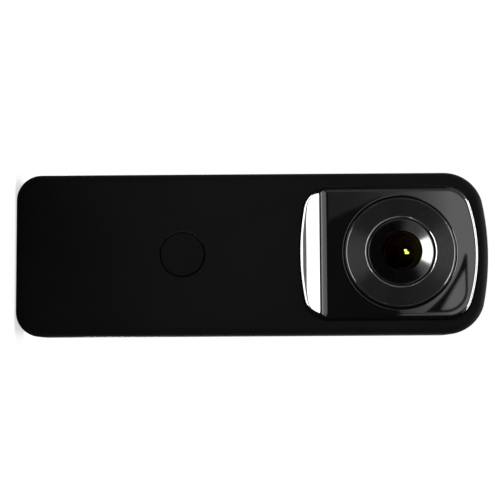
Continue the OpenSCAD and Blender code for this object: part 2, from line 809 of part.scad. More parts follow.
// Three elements behind the dome
module inner_lenses() {
    translate([0, lens_v, neck_w - element_t + 0.05]) rotate_extrude() intersection() {
        translate([0, element_h - element_sphere_r]) circle(element_sphere_r);
        square([element_r - 0.05, element_h + 0.6]);
    }
    span = neck_w - element_t - barrel_lo;
    biconvex(barrel_lo + 0.73 * span, relay_t, relay_sphere_r, barrel_bore_r - 0.1);
    biconvex(barrel_lo + 0.27 * span, field_t, field_sphere_r, barrel_bore_r - 0.1);
}

// Foot and threaded collar that hold the barrel over the sensor
module lens_holder() {
    translate([0, lens_v, 0]) difference() {
        union() {
            translate([-holder_w / 2, -holder_w / 2, sensor_face]) cube([holder_w, holder_w, holder_foot]);
            translate([0, 0, holder_foot_w - 0.5])
                cylinder(r = barrel_thread_r + holder_wall, h = holder_top - holder_foot_w + 0.5);
        }
        translate([0, 0, sensor_face + well_h - 0.1]) cylinder(r = barrel_thread_r + 0.05, h = face);
        translate([-sensor_well / 2, -sensor_well / 2, sensor_face - 1])
            cube([sensor_well, sensor_well, well_h + 1]);
        for (s = [-1, 1]) translate([-s * module_screw, s * module_screw, sensor_face - 1])
            cylinder(r = module_screw_r + 0.05, h = holder_foot + 2);
    }
}

module image_sensor() {
    translate([-sensor_w / 2, lens_v - sensor_l / 2, sensor_face]) cube([sensor_w, sensor_l, sensor_h]);
}

module sensor_board() {
    difference() {
        translate([-sensor_board_w / 2, sensor_lo, sensor_rear])
            cube([sensor_board_w, sensor_board_l, sensor_board_t]);
        for (s = [-1, 1]) translate([-s * module_screw, lens_v + s * module_screw, 0])
            cylinder(r = module_screw_r + 0.05, h = face);
    }
}

module thermal_pad() {
    translate([-pad_w / 2, lens_v - pad_w / 2, chassis_w]) cube([pad_w, pad_w, pad_t]);
}

module front_lens_plate() { color(GLOSS_C) front() lens_plate(); }
module rear_lens_plate() { color(GLOSS_C) rear() lens_plate(); }
module front_lens_ring() { color(RING_C) front() lens_ring(); }
module rear_lens_ring() { color(RING_C) rear() lens_ring(); }
module front_lens_cone() { color(GLOSS_C) front() lens_cone(); }
module rear_lens_cone() { color(GLOSS_C) rear() lens_cone(); }
module front_dome_glass() { color(GLASS_C) front() dome_glass(); }
module rear_dome_glass() { color(GLASS_C) rear() dome_glass(); }
module front_dust_seal() { color(RUBBER_C) front() dust_seal(); }
module rear_dust_seal() { color(RUBBER_C) rear() dust_seal(); }
module front_lens_barrel() { color(CHIP_C) front() lens_barrel(); }
module rear_lens_barrel() { color(CHIP_C) rear() lens_barrel(); }
module front_inner_lenses() { color(GLASS_C) front() inner_lenses(); }
module rear_inner_lenses() { color(GLASS_C) rear() inner_lenses(); }
module front_lens_holder() { color(CHIP_C) front() lens_holder(); }
module rear_lens_holder() { color(CHIP_C) rear() lens_holder(); }
module front_image_sensor() { color(PAD_C) front() image_sensor(); }
module rear_image_sensor() { color(PAD_C) rear() image_sensor(); }
module front_sensor_board() { color(BOARD_C) front() sensor_board(); }
module rear_sensor_board() { color(BOARD_C) rear() sensor_board(); }
module front_thermal_pad() { color(PAD_C) front() thermal_pad(); }
module rear_thermal_pad() { color(PAD_C) rear() thermal_pad(); }

// Ribbons from the sensor boards down to the main board
module front_sensor_flex() {
    color(FLEX_C) front() across(flex_w) polygon([
        [sensor_lo + flex_foot, sensor_face],
        [sensor_lo + flex_foot, sensor_face + flex_t],
        [sensor_lo, sensor_face + flex_t],
        [board_hi, board_front + flex_t],
        [board_hi - flex_foot, board_front + flex_t],
        [board_hi - flex_foot, board_front],
        [board_hi + 0.2, board_front],
        [sensor_lo + 0.2, sensor_face]
    ]);
}

module rear_sensor_flex() {
    color(FLEX_C) front() across(flex_w) polygon([
        [sensor_lo + flex_foot, -sensor_face],
        [sensor_lo + flex_foot, -sensor_face - flex_t],
        [bay_v, -sensor_face - flex_t],
        [board_hi + 0.3, board_rear - flex_t],
        [board_hi - flex_foot, board_rear - flex_t],
        [board_hi - flex_foot, board_rear],
        [board_hi + 0.4, board_rear],
        [bay_v + 0.1, -sensor_face]
    ]);
}

// Alloy plate between the two lens modules
module lens_chassis() {
    color(ALLOY_C) front() difference() {
        union() {
            translate([0, 0, -chassis_w]) linear_extrude(height = chassis_t) intersection() {
                bulged(PLATE, chassis_inset);
                translate([-hw, bay_v]) square([body_w, body_len]);
            }
            for (s = [-1, 1]) {
                translate([-s * module_screw, lens_v + s * module_screw, 0])
                    cylinder(r = module_post_r, h = sensor_rear);
                translate([s * module_screw, lens_v + s * module_screw, -sensor_rear])
                    cylinder(r = module_post_r, h = sensor_rear);
            }
        }
        for (s = [-1, 1]) {
            translate([-s * module_screw, lens_v + s * module_screw, 0.2 - chassis_w])
                cylinder(r = module_screw_r + 0.05, h = face);
            translate([s * module_screw, lens_v + s * module_screw, -face])
                cylinder(r = module_screw_r + 0.05, h = face + chassis_w - 0.2);
            for (p = [shell_screw_lo, shell_screw_hi])
                translate([s * p[0], p[1], -chassis_t]) cylinder(r = screw_r + 0.15, h = 2 * chassis_t);
        }
    }
}

module main_board() {
    color(BOARD_C) front() difference() {
        translate([0, 0, board_rear]) linear_extrude(height = board_t) union() {
            translate([-board_u, board_lo]) square([2 * board_u, board_hi - board_lo]);
            translate([board_tab_u, board_tab_v]) square([board_u - board_tab_u, board_lo - board_tab_v + 0.5]);
        }
        for (b = board_screw)
            translate([b[0] * board_screw_u, b[1], 0]) cylinder(r = board_screw_r + 0.15, h = face);
    }
}

module processor_shield() {
    color(METAL_C) front() translate([0, shield_v, board_front]) difference() {
        translate([-shield_w / 2, -shield_l / 2, 0]) cube([shield_w, shield_l, shield_h]);
        translate([shield_t - shield_w / 2, shield_t - shield_l / 2, -1])
            cube([shield_w - 2 * shield_t, shield_l - 2 * shield_t, shield_h - shield_t + 1]);
    }
}

// Processor under the shield, power chip, radio, memory and status lamp
module board_chips() {
    color(CHIP_C) front() {
        translate([-cpu_w / 2, shield_v - cpu_w / 2, board_front]) cube([cpu_w, cpu_w, cpu_h]);
        translate([-chip_in - power_chip_w, chip_lo, board_front]) cube([power_chip_w, power_chip_l, chip_h]);
        translate([chip_in, chip_lo, board_front]) cube([radio_w, radio_w, chip_h]);
        translate([-memory_u - memory_w, button_v - memory_w / 2 - 1, board_front])
            cube([memory_w, memory_w, memory_h]);
        translate([board_u - lamp_d - 0.2, light_v - lamp_l / 2, board_rear - lamp_h])
            cube([lamp_d, lamp_l, lamp_h]);
    }
}

module wifi_antenna() {
    color(FLEX_C) front() translate([hw - wall - antenna_t - 0.02, lens_v - sensor_drop - 1, -antenna_w - 1.2])
        cube([antenna_t, antenna_l, antenna_w]);
}

module battery() {
    color(CELL_C) front() translate([0, battery_v + battery_l / 2, battery_rear])
        linear_extrude(height = battery_t) {
            square([battery_w - 2 * battery_corner_r, battery_l], center = true);
            square([battery_w, battery_l - 2 * battery_corner_r], center = true);
            for (a = [-1, 1]) for (b = [-1, 1])
                translate([a * (battery_w / 2 - battery_corner_r), b * (battery_l / 2 - battery_corner_r)])
                    circle(battery_corner_r);
        }
}

module battery_pad() {
    color(PAD_C) front() translate([battery_corner_r - battery_w / 2, battery_v + battery_corner_r, -ceil_w])
        cube([battery_w - 2 * battery_corner_r, battery_l - 2 * battery_corner_r, battery_pad_t]);
}

// Flat lead from the battery's front, near its upper end, to the main board
module battery_lead() {
    low = battery_v + battery_l - 2 * lead_foot;
    high = board_hi - board_screw_end + lead_foot;
    color(FLEX_C) front() translate([lead_u, 0, 0]) across(lead_w) polygon([
        [low - lead_foot / 2, battery_front],
        [low + lead_foot / 2, battery_front],
        [high + lead_foot / 2, board_rear],
        [high - lead_foot / 2, board_rear]
    ]);
}

// Flush round cap with a flange under the wall and a stem over the switch
module shutter_button() {
    color(SHELL_C) front() translate([0, button_v, 0]) rotate_extrude() polygon([
        [0, plunger_top],
        [stem_r, plunger_top],
        [stem_r, button_flange_w - button_flange_t],
        [button_r + button_flange, button_flange_w - button_flange_t],
        [button_r + button_flange, button_flange_w],
        [button_r, button_flange_w],
        [button_r, face - 0.15],
        [button_r - 0.15, face],
        [0, face]
    ]);
}

module shutter_switch() {
    color(METAL_C) front() translate([0, button_v, board_front]) difference() {
        translate([-switch_w / 2, -switch_w / 2, 0]) cube([switch_w, switch_w, switch_h]);
        translate([0, 0, switch_floor]) cylinder(r = plunger_r + 0.2, h = switch_h);
    }
}

module shutter_plunger() {
    color(CHIP_C) front() translate([0, button_v, plunger_lo])
        cylinder(r = plunger_r, h = plunger_top - plunger_lo);
}

// Flush side key with a flange behind the wall and a nub over the switch
module side_key(v) {
    front() translate([0, v, 0]) {
        translate([(key_in - 0.3 + hw) / 2, 0, 0]) across(hw - key_in + 0.3) pill(key_len, key_w);
        translate([key_in - key_flange_t / 2, 0, 0]) across(key_flange_t)
            pill(key_len + 2 * key_flange, key_w + 2 * key_flange);
        translate([key_touch, 0, 0]) rotate([0, 90, 0]) cylinder(r = nub_r, h = key_in - key_touch - 0.1);
    }
}

module side_plunger(v) {
    foot = switch_u - side_pocket + key_travel + key_clear;
    front() translate([foot, v, 0]) rotate([0, 90, 0]) cylinder(r = side_plunger_r, h = key_touch - foot);
}

module power_button() { color(SHELL_C) side_key(power_v); }
module power_plunger() { color(CHIP_C) side_plunger(power_v); }
module mode_button() { color(SHELL_C) side_key(mode_v); }
module mode_plunger() { color(CHIP_C) side_plunger(mode_v); }

module side_switches() {
    color(METAL_C) front() for (v = [power_v, mode_v]) difference() {
        translate([switch_u - side_switch_d, v - side_switch_l / 2, side_switch_rear])
            cube([side_switch_d, side_switch_l, board_rear - side_switch_rear]);
        translate([switch_u - side_pocket, v, 0]) rotate([0, 90, 0])
            cylinder(r = side_hole_r, h = 2 * side_pocket);
    }
}

module status_light_pipe() {
    color([0.85, 0.88, 0.9]) front() translate([board_u + 0.2, light_v, 0]) rotate([0, 90, 0])
        cylinder(r = light_r, h = hw - board_u - 0.2);
}

// Threaded insert with a flange and a groove that the shells grip
module tripod_socket() {
    color(BRASS_C) front() turned_up() polygon([
        [tripod_bore_r + tripod_lead, 0],
        [tripod_flange_r, 0],
        [tripod_flange_r, tripod_flange_t],
        [tripod_r, tripod_flange_t],
        [tripod_r, tripod_rib_v - 0.1],
        [tripod_r - tripod_rib_d, tripod_rib_v - 0.1],
        [tripod_r - tripod_rib_d, tripod_rib_v + tripod_rib_t],
        [tripod_r, tripod_rib_v + tripod_rib_t],
        [tripod_r, tripod_h],
        [0, tripod_h],
        [0, tripod_depth],
        [tripod_bore_r, tripod_depth],
        [tripod_bore_r, tripod_lead]
    ]);
}

// Receptacle with its tongue
module usb_port() {
    color(METAL_C) front() translate([usb_u, 0, usb_mid]) {
        difference() {
            upwards(usb_lo, usb_lo + usb_l) pill(usb_w, usb_t);
            upwards(usb_lo - 1, usb_lo + usb_l - usb_back)
                pill(usb_w - 2 * usb_wall, usb_t - 2 * usb_wall - 0.04);
        }
        translate([-usb_tongue_w / 2, usb_lo + usb_tongue_in, -usb_tongue_t / 2])
            cube([usb_tongue_w, usb_l - usb_back / 2 - usb_tongue_in - 0.05, usb_tongue_t]);
    }
}

// Tray that the memory card slides into
module card_socket() {
    color(METAL_C) front() difference() {
        translate([-board_u + 0.1, card_v - card_socket_w / 2, board_rear - card_socket_t])
            cube([card_socket_l, card_socket_w, card_socket_t]);
        translate([-board_u - 1, card_v - card_w / 2 - card_gap, card_mid - card_t / 2 - card_gap])
            cube([card_socket_l - 0.2, card_w + 2 * card_gap, card_t + 2 * card_gap]);
    }
}

module memory_card() {
    color([0.06, 0.06, 0.07]) front() translate([-card_out, card_v, card_mid - card_t / 2])
        linear_extrude(height = card_t) polygon([
            [0, -card_w / 2],
            [card_l - card_cut, -card_w / 2],
            [card_l, -card_w / 2 + card_cut],
            [card_l, card_w / 2 - 2 * card_step],
            [card_l - 6 * card_step, card_w / 2 - card_step],
            [card_l - 7 * card_step, card_w / 2],
            [0, card_w / 2]
        ]);
}

module microphone() {
    color(METAL_C) front() translate([-board_u + 0.2, mic_v - mic_l / 2, board_front])
        cube([mic_d, mic_l, mic_h]);
}

// Rubber sleeve from the sound hole to the microphone
module mic_boot() {
    color(RUBBER_C) front() translate([-hw + wall, mic_v, mic_w]) difference() {
        translate([0, -boot_l / 2, 0]) cube([hw - wall - board_u - 0.05, boot_l, boot_h]);
        translate([-1, 0, 0]) rotate([0, 90, 0]) cylinder(r = mic_hole_r, h = board_gap);
    }
}

module shell_screws() {
    color(METAL_C) rear() for (s = [-1, 1]) for (p = [shell_screw_lo, shell_screw_hi])
        translate([s * p[0], p[1], 0]) {
            translate([0, 0, -screw_bite]) cylinder(r = screw_r, h = seat_w + screw_bite - 1);
            difference() {
                translate([0, 0, seat_w - screw_head_t - head_gap])
                    cylinder(r = screw_head_r, h = screw_head_t);
                translate([0, 0, seat_w - 0.6]) cylinder(r = screw_drive_r, h = 2, $fn = 6);
            }
        }
}

module module_screw_pair() {
    for (s = [-1, 1]) translate([-s * module_screw, lens_v + s * module_screw, 0]) {
        translate([0, 0, 0.3 - chassis_w]) cylinder(r = module_screw_r, h = holder_foot_w + chassis_w);
        difference() {
            translate([0, 0, holder_foot_w]) cylinder(r = small_head_r, h = small_head_t);
            translate([0, 0, holder_foot_w + 0.5]) cylinder(r = small_drive_r, h = 2, $fn = 6);
        }
    }
}

module lens_module_screws() {
    color(METAL_C) {
        front() module_screw_pair();
        rear() module_screw_pair();
    }
}

module board_screws() {
    color(METAL_C) front() for (b = board_screw) translate([b[0] * board_screw_u, b[1], 0]) {
        translate([0, 0, board_rear - 0.3]) cylinder(r = board_screw_r, h = board_t + board_screw_bite + 0.3);
        difference() {
            translate([0, 0, board_rear - board_head_t]) cylinder(r = board_head_r, h = board_head_t);
            translate([0, 0, board_rear - board_head_t - 1]) cylinder(r = small_drive_r, h = 1.4, $fn = 6);
        }
    }
}

// Which piece to draw

front_shell();
rear_shell();
front_lens_plate();
rear_lens_plate();
front_lens_ring();
rear_lens_ring();
front_lens_cone();
rear_lens_cone();
front_dome_glass();
rear_dome_glass();
front_dust_seal();
rear_dust_seal();
front_lens_barrel();
rear_lens_barrel();
front_inner_lenses();
rear_inner_lenses();
front_lens_holder();
rear_lens_holder();
front_image_sensor();
rear_image_sensor();
front_sensor_board();
rear_sensor_board();
front_thermal_pad();
rear_thermal_pad();
front_sensor_flex();
rear_sensor_flex();
lens_chassis();
main_board();
processor_shield();
board_chips();
wifi_antenna();
battery();
battery_pad();
battery_lead();
shutter_button();
shutter_switch();
shutter_plunger();
power_button();
power_plunger();
mode_button();
mode_plunger();
side_switches();
status_light_pipe();
tripod_socket();
usb_port();
card_socket();
memory_card();
microphone();
mic_boot();
shell_screws();
lens_module_screws();
board_screws();
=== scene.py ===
import json
import math

import bmesh
import bpy
from mathutils import Matrix, Vector


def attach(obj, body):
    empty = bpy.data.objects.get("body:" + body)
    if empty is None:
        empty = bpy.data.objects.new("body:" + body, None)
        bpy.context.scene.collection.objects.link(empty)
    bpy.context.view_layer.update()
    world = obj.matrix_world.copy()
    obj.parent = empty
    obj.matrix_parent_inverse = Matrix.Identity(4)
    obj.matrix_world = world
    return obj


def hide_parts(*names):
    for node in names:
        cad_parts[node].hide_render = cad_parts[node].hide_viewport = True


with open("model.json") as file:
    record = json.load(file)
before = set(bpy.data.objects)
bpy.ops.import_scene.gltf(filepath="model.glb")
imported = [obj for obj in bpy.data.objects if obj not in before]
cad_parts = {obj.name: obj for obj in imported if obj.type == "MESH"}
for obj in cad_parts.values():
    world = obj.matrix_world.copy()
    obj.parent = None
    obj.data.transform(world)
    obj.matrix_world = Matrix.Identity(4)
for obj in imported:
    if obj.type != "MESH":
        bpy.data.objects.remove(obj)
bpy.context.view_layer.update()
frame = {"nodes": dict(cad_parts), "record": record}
MM = 0.001
BODY = "camera_body"
SIDES = (("front", -1.0), ("rear", 1.0))

# Sizes of the lens stack in mm: _R is taken from the lens axis, _W from the body's middle plane.
# They are those of the solids, but for the cone's radius, which is 0.08 less so that its gap shows.
LENS_V = 106.2
LENS_Z = LENS_V * MM
PLATE_TOP, SEAT_W = 10.3, 7.7
SHOULDER_R, SHOULDER_W = 14.75, 11.7
RING_SLOPE = math.tan(math.radians(13.0))
RIM_R, BORE_R = 9.75, 9.4
RIM_W = SHOULDER_W + (SHOULDER_R - RIM_R) * RING_SLOPE
BORE_W = RIM_W - 1.3
CONE_R, CONE_HOLLOW_R = 8.92, 8.5
MOUTH_R, MOUTH_BORE_R = 5.55, 5.32
CONE_BASE_W = RIM_W - 0.35
CONE_RUN, CONE_ANGLE = 3.45, math.radians(35.5)
CONE_TIP_W = CONE_BASE_W + CONE_RUN * math.tan(CONE_ANGLE)
NECK_W = CONE_TIP_W - 1.45
DOME_R, DOME_BALL = 5.25, 6.9
DOME_TOP_W = CONE_TIP_W - 0.05 + DOME_BALL - math.sqrt(DOME_BALL ** 2 - DOME_R ** 2)

# Steps of a full turn, for the lens stack and for other round pieces
LENS_ROUND, ROUND = 240, 160


# Node helpers
class Graph:
    """Short forms for building a node tree."""

    def __init__(self, tree):
        self.tree = tree
        tree.nodes.clear()

    def node(self, kind, **props):
        made = self.tree.nodes.new(kind)
        for key, value in props.items():
            setattr(made, key, value)
        return made

    def link(self, a, b):
        self.tree.links.new(a, b)

    def feed(self, socket, value):
        """Links or sets a socket. Colours get full alpha, and None leaves the socket as it is."""
        if isinstance(value, bpy.types.NodeSocket):
            self.link(value, socket)
        elif isinstance(value, tuple) and len(value) == 3 and socket.type == "RGBA":
            socket.default_value = (*value, 1.0)
        elif value is not None:
            socket.default_value = value

    def fill(self, node, entries):
        """Feeds a node's sockets, given by name or number."""
        for key, value in entries.items():
            self.feed(node.inputs[key], value)

    def math(self, op, a, b=None):
        made = self.node("ShaderNodeMath", operation=op)
        self.fill(made, {0: a, 1: b})
        return made.outputs[0]

    def vector(self, op, a, b=None):
        made = self.node("ShaderNodeVectorMath", operation=op)
        self.fill(made, {0: a, 1: b})
        return made.outputs["Value" if op == "LENGTH" else "Vector"]

    def span(self, value, lo, hi, start=0.0, end=1.0, smooth=False):
        """Goes from lo to hi while the value goes from start to end."""
        made = self.node("ShaderNodeMapRange", interpolation_type="SMOOTHSTEP" if smooth else "LINEAR")
        self.fill(made, {"Value": value, "From Min": start, "From Max": end, "To Min": lo, "To Max": hi})
        return made.outputs["Result"]

    def ease(self, value, start, end):
        """0 below start, 1 above end, smooth between; falls instead where start is above end."""
        if start < end:
            return self.span(value, 0.0, 1.0, start, end, True)
        return self.span(value, 1.0, 0.0, end, start, True)

    def product(self, first, *rest):
        for value in rest:
            first = self.math("MULTIPLY", first, value)
        return first

    def total(self, first, *rest):
        for value in rest:
            first = self.math("ADD", first, value)
        return first

    def length(self, u, v):
        return self.math("SQRT", self.total(self.product(u, u), self.product(v, v)))

    def blend(self, share, first, second, surface):
        """Mixes two shaders into the output's surface."""
        mix = self.node("ShaderNodeMixShader")
        self.fill(mix, {0: share, 1: first.outputs[0], 2: second.outputs[0]})
        self.link(mix.outputs[0], surface)


class Look(Graph):
    """A procedural material with a Principled shader, in object coordinates (metres)."""

    def __init__(self, name, **sockets):
        self.mat = bpy.data.materials.new(name)
        self.mat.use_nodes = True
        super().__init__(self.mat.node_tree)
        out = self.node("ShaderNodeOutputMaterial")
        self.bsdf = self.node("ShaderNodeBsdfPrincipled")
        self.link(self.bsdf.outputs[0], out.inputs["Surface"])
        self.at = self.node("ShaderNodeTexCoord").outputs["Object"]
        self.set(**sockets)

    def set(self, **sockets):
        for key, value in sockets.items():
            self.feed(self.bsdf.inputs[key.replace("_", " ")], value)

    def place(self, stretch):
        if not stretch:
            return self.at
        made = self.node("ShaderNodeMapping")
        self.fill(made, {"Scale": stretch, "Vector": self.at})
        return made.outputs[0]

    def noise(self, scale, detail=3.0, rough=0.55, stretch=None):
        made = self.node("ShaderNodeTexNoise")
        self.fill(made, {"Vector": self.place(stretch), "Scale": scale})
        self.fill(made, {"Detail": detail, "Roughness": rough})
        return made.outputs["Fac"]

    def cells(self, scale, feature="F1"):
        made = self.node("ShaderNodeTexVoronoi", feature=feature)
        self.fill(made, {"Scale": scale, "Vector": self.at})
        return made.outputs["Distance"]

    def mix(self, share, a, b):
        """Mixes two colours; the numbers are the colour sockets of the node."""
        made = self.node("ShaderNodeMix", data_type="RGBA")
        self.fill(made, {0: share, 6: a, 7: b})
        return made.outputs[2]

    def bump(self, height, strength, depth, below=None):
        """Relief with its depth in mm, over another bump where one is given."""
        made = self.node("ShaderNodeBump")
        self.fill(made, {"Strength": strength, "Distance": depth * MM, "Height": height, "Normal": below})
        return made.outputs[0]

    def lens_radius(self):
        """Distance from the lens axis, which runs along Y."""
        moved = self.vector("SUBTRACT", self.at, (0.0, 0.0, LENS_Z))
        return self.vector("LENGTH", self.vector("MULTIPLY", moved, (1.0, 0.0, 1.0)))


def grey(level):
    return (level, level, level)


# Materials
def soft_black(name, dark, light, rough, sheen=0.04):
    """Soft-touch paint: a fine stipple, slow tone drift and faint handling marks."""
    m = Look(name, Specular_IOR_Level=0.02, Sheen_Weight=sheen, Sheen_Roughness=0.4)
    stipple = m.noise(7200.0, detail=2.0, rough=0.6)
    drift = m.noise(55.0, detail=4.0, rough=0.6)
    smear = m.noise(21.0, detail=5.0, rough=0.65, stretch=(1.0, 1.0, 0.35))
    tone = m.total(m.product(stipple, 0.55), m.product(drift, 0.45))
    wear = m.span(smear, -0.05, 0.06, 0.35, 0.7)
    m.set(Base_Color=m.mix(m.span(tone, 0.0, 1.0, 0.3, 0.72), dark, light))
    m.set(Roughness=m.total(m.span(drift, rough - 0.04, rough + 0.05), wear))
    pores = m.bump(m.cells(5200.0), strength=0.12, depth=0.02)
    m.set(Normal=m.bump(stipple, strength=0.35, depth=0.03, below=pores))
    return m.mat


def piano_black(name, polish, edge=None):
    """Lacquered plastic: near mirror, with waves, dust and hairlines; matt inside the edge radius (mm)."""
    m = Look(name, Specular_IOR_Level=0.0, Coat_Weight=1.0, Coat_Roughness=polish, Coat_IOR=1.95)
    wave = m.noise(90.0, detail=1.0, rough=0.4)
    hair = m.noise(900.0, detail=3.0, rough=0.6, stretch=(1.0, 1.0, 0.04))
    dust = m.span(m.cells(620.0), 1.0, 0.0, 0.0, 0.045)
    m.set(Base_Color=m.mix(dust, (0.0012, 0.0012, 0.0014), (0.006, 0.006, 0.0062)))
    m.set(Roughness=m.span(hair, 0.035 + polish, 0.075 + polish, 0.3, 0.75))
    m.set(Normal=m.bump(wave, strength=0.03, depth=0.02))
    if edge:
        m.set(Coat_Weight=m.ease(m.lens_radius(), edge * MM, (edge + 0.06) * MM))
    return m.mat


def turned_satin(name):
    """Black anodised alloy with lathe marks round the lens axis and bright-cut rims."""
    m = Look(name, Anisotropic=0.8, Anisotropic_Rotation=0.25, Specular_IOR_Level=0.15)
    mark_pitch = 0.085 * MM
    r = m.lens_radius()
    line = m.math("SINE", m.product(r, 2.0 * math.pi / mark_pitch))
    grain = m.noise(2600.0, detail=3.0, rough=0.6)
    inner = m.ease(r, (RIM_R - 0.01) * MM, (RIM_R - 0.05) * MM)
    outwards = m.ease(r, (SHOULDER_R - 0.06) * MM, (SHOULDER_R - 0.038) * MM)
    inwards = m.ease(r, (SHOULDER_R + 0.05) * MM, (SHOULDER_R + 0.028) * MM)
    rim = m.math("MAXIMUM", inner, m.product(outwards, inwards))
    cut = m.mix(inner, grey(0.2), grey(0.9))
    dark = m.mix(m.span(grain, 0.0, 1.0, 0.25, 0.75), grey(0.0022), grey(0.005))
    satin = m.span(grain, 0.25, 0.35, 0.25, 0.75)
    m.set(Base_Color=m.mix(rim, dark, cut))
    m.set(Metallic=rim)
    m.set(Roughness=m.math("SUBTRACT", satin, m.product(rim, 0.22)))
    tangent = m.node("ShaderNodeTangent", direction_type="RADIAL", axis="Y")
    m.set(Tangent=tangent.outputs[0])
    m.set(Normal=m.bump(m.total(line, m.product(grain, 0.6)), strength=0.15, depth=0.012))
    return m.mat


def coated_glass(name, film, tint, gleam, ior):
    """Lens glass with a thin anti-reflection film, its faint coloured gleam and a trace of dust."""
    m = Look(name, Transmission_Weight=1.0, IOR=ior)
    m.set(Thin_Film_Thickness=film, Thin_Film_IOR=1.38, Specular_Tint=gleam)
    dust = m.noise(1500.0, detail=4.0, rough=0.7)
    paler = tuple(min(1.0, c * 1.06) for c in tint)
    m.set(Base_Color=m.mix(m.span(dust, 0.0, 1.0, 0.45, 0.9), tint, paler))
    m.set(Roughness=m.span(dust, 0.0, 0.02, 0.5, 0.9))
    return m.mat


def moulded(name, dark, light, rough, scale, spec=0.5, metallic=0.0, depth=0.02, stretch=None):
    """Moulded, cast or plated surface with grain in colour, gloss and relief."""
    m = Look(name, Specular_IOR_Level=spec, Metallic=metallic)
    grain = m.noise(scale, detail=3.0, rough=0.6, stretch=stretch)
    drift = m.noise(scale * 0.05, detail=3.0, rough=0.5)
    m.set(Base_Color=m.mix(m.span(m.total(grain, drift), 0.0, 1.0, 0.6, 1.4), dark, light))
    m.set(Roughness=m.span(grain, rough - 0.06, rough + 0.08, 0.3, 0.7))
    m.set(Normal=m.bump(grain, strength=0.25, depth=depth))
    return m.mat


def plated(name, dark, light, rough, scale, stretch=None):
    return moulded(name, dark, light, rough, scale, metallic=1.0, stretch=stretch)


def circuit_board(name):
    """Solder mask over copper: traces show as paler, raised lines."""
    m = Look(name, Coat_Weight=0.4, Coat_Roughness=0.2)
    brick = m.node("ShaderNodeTexBrick")
    m.fill(brick, {"Scale": 420.0, "Mortar Size": 0.04, "Vector": m.at})
    edge = m.cells(700.0, "DISTANCE_TO_EDGE")
    trace = m.math("MAXIMUM", brick.outputs["Fac"], m.span(edge, 1.0, 0.0, 0.0, 0.06))
    m.set(Base_Color=m.mix(trace, (0.008, 0.075, 0.03), (0.03, 0.17, 0.075)))
    m.set(Roughness=m.span(m.noise(2500.0), 0.32, 0.5))
    m.set(Normal=m.bump(trace, strength=0.3, depth=0.03))
    return m.mat


def frosted(name):
    """Clear plastic of the light pipe, frosted."""
    m = Look(name, Transmission_Weight=0.85, IOR=1.5)
    frost = m.noise(4200.0, detail=2.0, rough=0.5)
    m.set(Base_Color=m.mix(frost, (0.72, 0.78, 0.76), (0.86, 0.9, 0.88)))
    m.set(Roughness=m.span(frost, 0.3, 0.5))
    return m.mat


BODY_DARK, BODY_LIGHT, BODY_ROUGH = (0.0014, 0.0013, 0.0014), (0.0030, 0.0028, 0.0029), 0.6
SHELL = soft_black("shell_soft_black", BODY_DARK, BODY_LIGHT, BODY_ROUGH)
BUTTON = soft_black("button_soft_black", BODY_DARK, BODY_LIGHT, BODY_ROUGH, sheen=0.0)
KEYS = soft_black("key_soft_black", (0.0032, 0.0031, 0.0032), (0.0066, 0.0064, 0.0066), 0.52)
GLOSS = piano_black("gloss_black_lacquer", 0.015)
CONE = piano_black("cone_black_lacquer", 0.2, edge=MOUTH_R - 0.03)
RING = turned_satin("ring_turned_satin")
DOME = coated_glass("dome_coated_glass", 108.0, (0.14, 0.085, 0.105), (0.29, 0.4, 0.015), 1.6)
INNER_GLASS = coated_glass("inner_coated_glass", 98.0, (0.30, 0.34, 0.28), (0.25, 0.31, 0.05), 1.7)
RUBBER = moulded("seal_rubber_black", grey(0.004), grey(0.010), 0.8, 3000.0, spec=0.3)
BARREL = moulded("barrel_matt_black", (0.0025, 0.0025, 0.0027), (0.006, 0.006, 0.0064), 0.6, 2400.0,
                 spec=0.25)
PLASTIC = moulded("inner_black_plastic", (0.009, 0.009, 0.010), (0.022, 0.022, 0.024), 0.55, 1600.0)
SENSOR = moulded("sensor_cover", (0.012, 0.03, 0.07), (0.03, 0.06, 0.11), 0.18, 900.0)
BOARD = circuit_board("board_solder_mask")
PAD = moulded("thermal_pad_blue", (0.15, 0.27, 0.40), (0.24, 0.37, 0.52), 0.75, 1400.0,
              spec=0.3, depth=0.04)
FLEX = moulded("flex_amber_film", (0.33, 0.13, 0.012), (0.50, 0.22, 0.03), 0.3, 1100.0,
               stretch=(1.0, 1.0, 0.1))
ALLOY = plated("chassis_blasted_alloy", (0.36, 0.37, 0.39), (0.52, 0.53, 0.55), 0.48, 3600.0)
STEEL = plated("bright_nickel_steel", (0.50, 0.50, 0.51), (0.66, 0.65, 0.65), 0.26, 2200.0,
               stretch=(1.0, 0.15, 1.0))
FOIL = plated("battery_foil_grey", (0.38, 0.39, 0.41), (0.54, 0.55, 0.57), 0.36, 800.0)
BRASS = plated("insert_turned_brass", (0.50, 0.32, 0.09), (0.68, 0.47, 0.17), 0.3, 2600.0,
               stretch=(0.2, 0.2, 1.0))
CARD = moulded("card_black_plastic", (0.006, 0.006, 0.0065), (0.014, 0.014, 0.015), 0.42, 1900.0)
GOLD = plated("contact_gold", (0.62, 0.40, 0.12), (0.78, 0.55, 0.20), 0.25, 3200.0)
PIPE = frosted("light_pipe_frosted")

LOOKS = {
    "shell_black": SHELL,
    "key_black": KEYS,
    "gloss_black": GLOSS,
    "ring_satin": RING,
    "lens_glass": DOME,
    "seal_rubber": RUBBER,
    "barrel_black": BARREL,
    "inner_plastic": PLASTIC,
    "sensor_blue": SENSOR,
    "board_green": BOARD,
    "pad_blue": PAD,
    "flex_amber": FLEX,
    "chassis_alloy": ALLOY,
    "bright_steel": STEEL,
    "battery_foil": FOIL,
    "light_clear": PIPE,
    "insert_brass": BRASS,
    "card_black": CARD,
}
for part in frame["record"]["subparts"]:
    name = part["node"]
    look = INNER_GLASS if name.endswith("inner_lenses") else LOOKS[part["material_slot"]]
    node = frame["nodes"][name]
    node.data.materials.clear()
    node.data.materials.append(look)


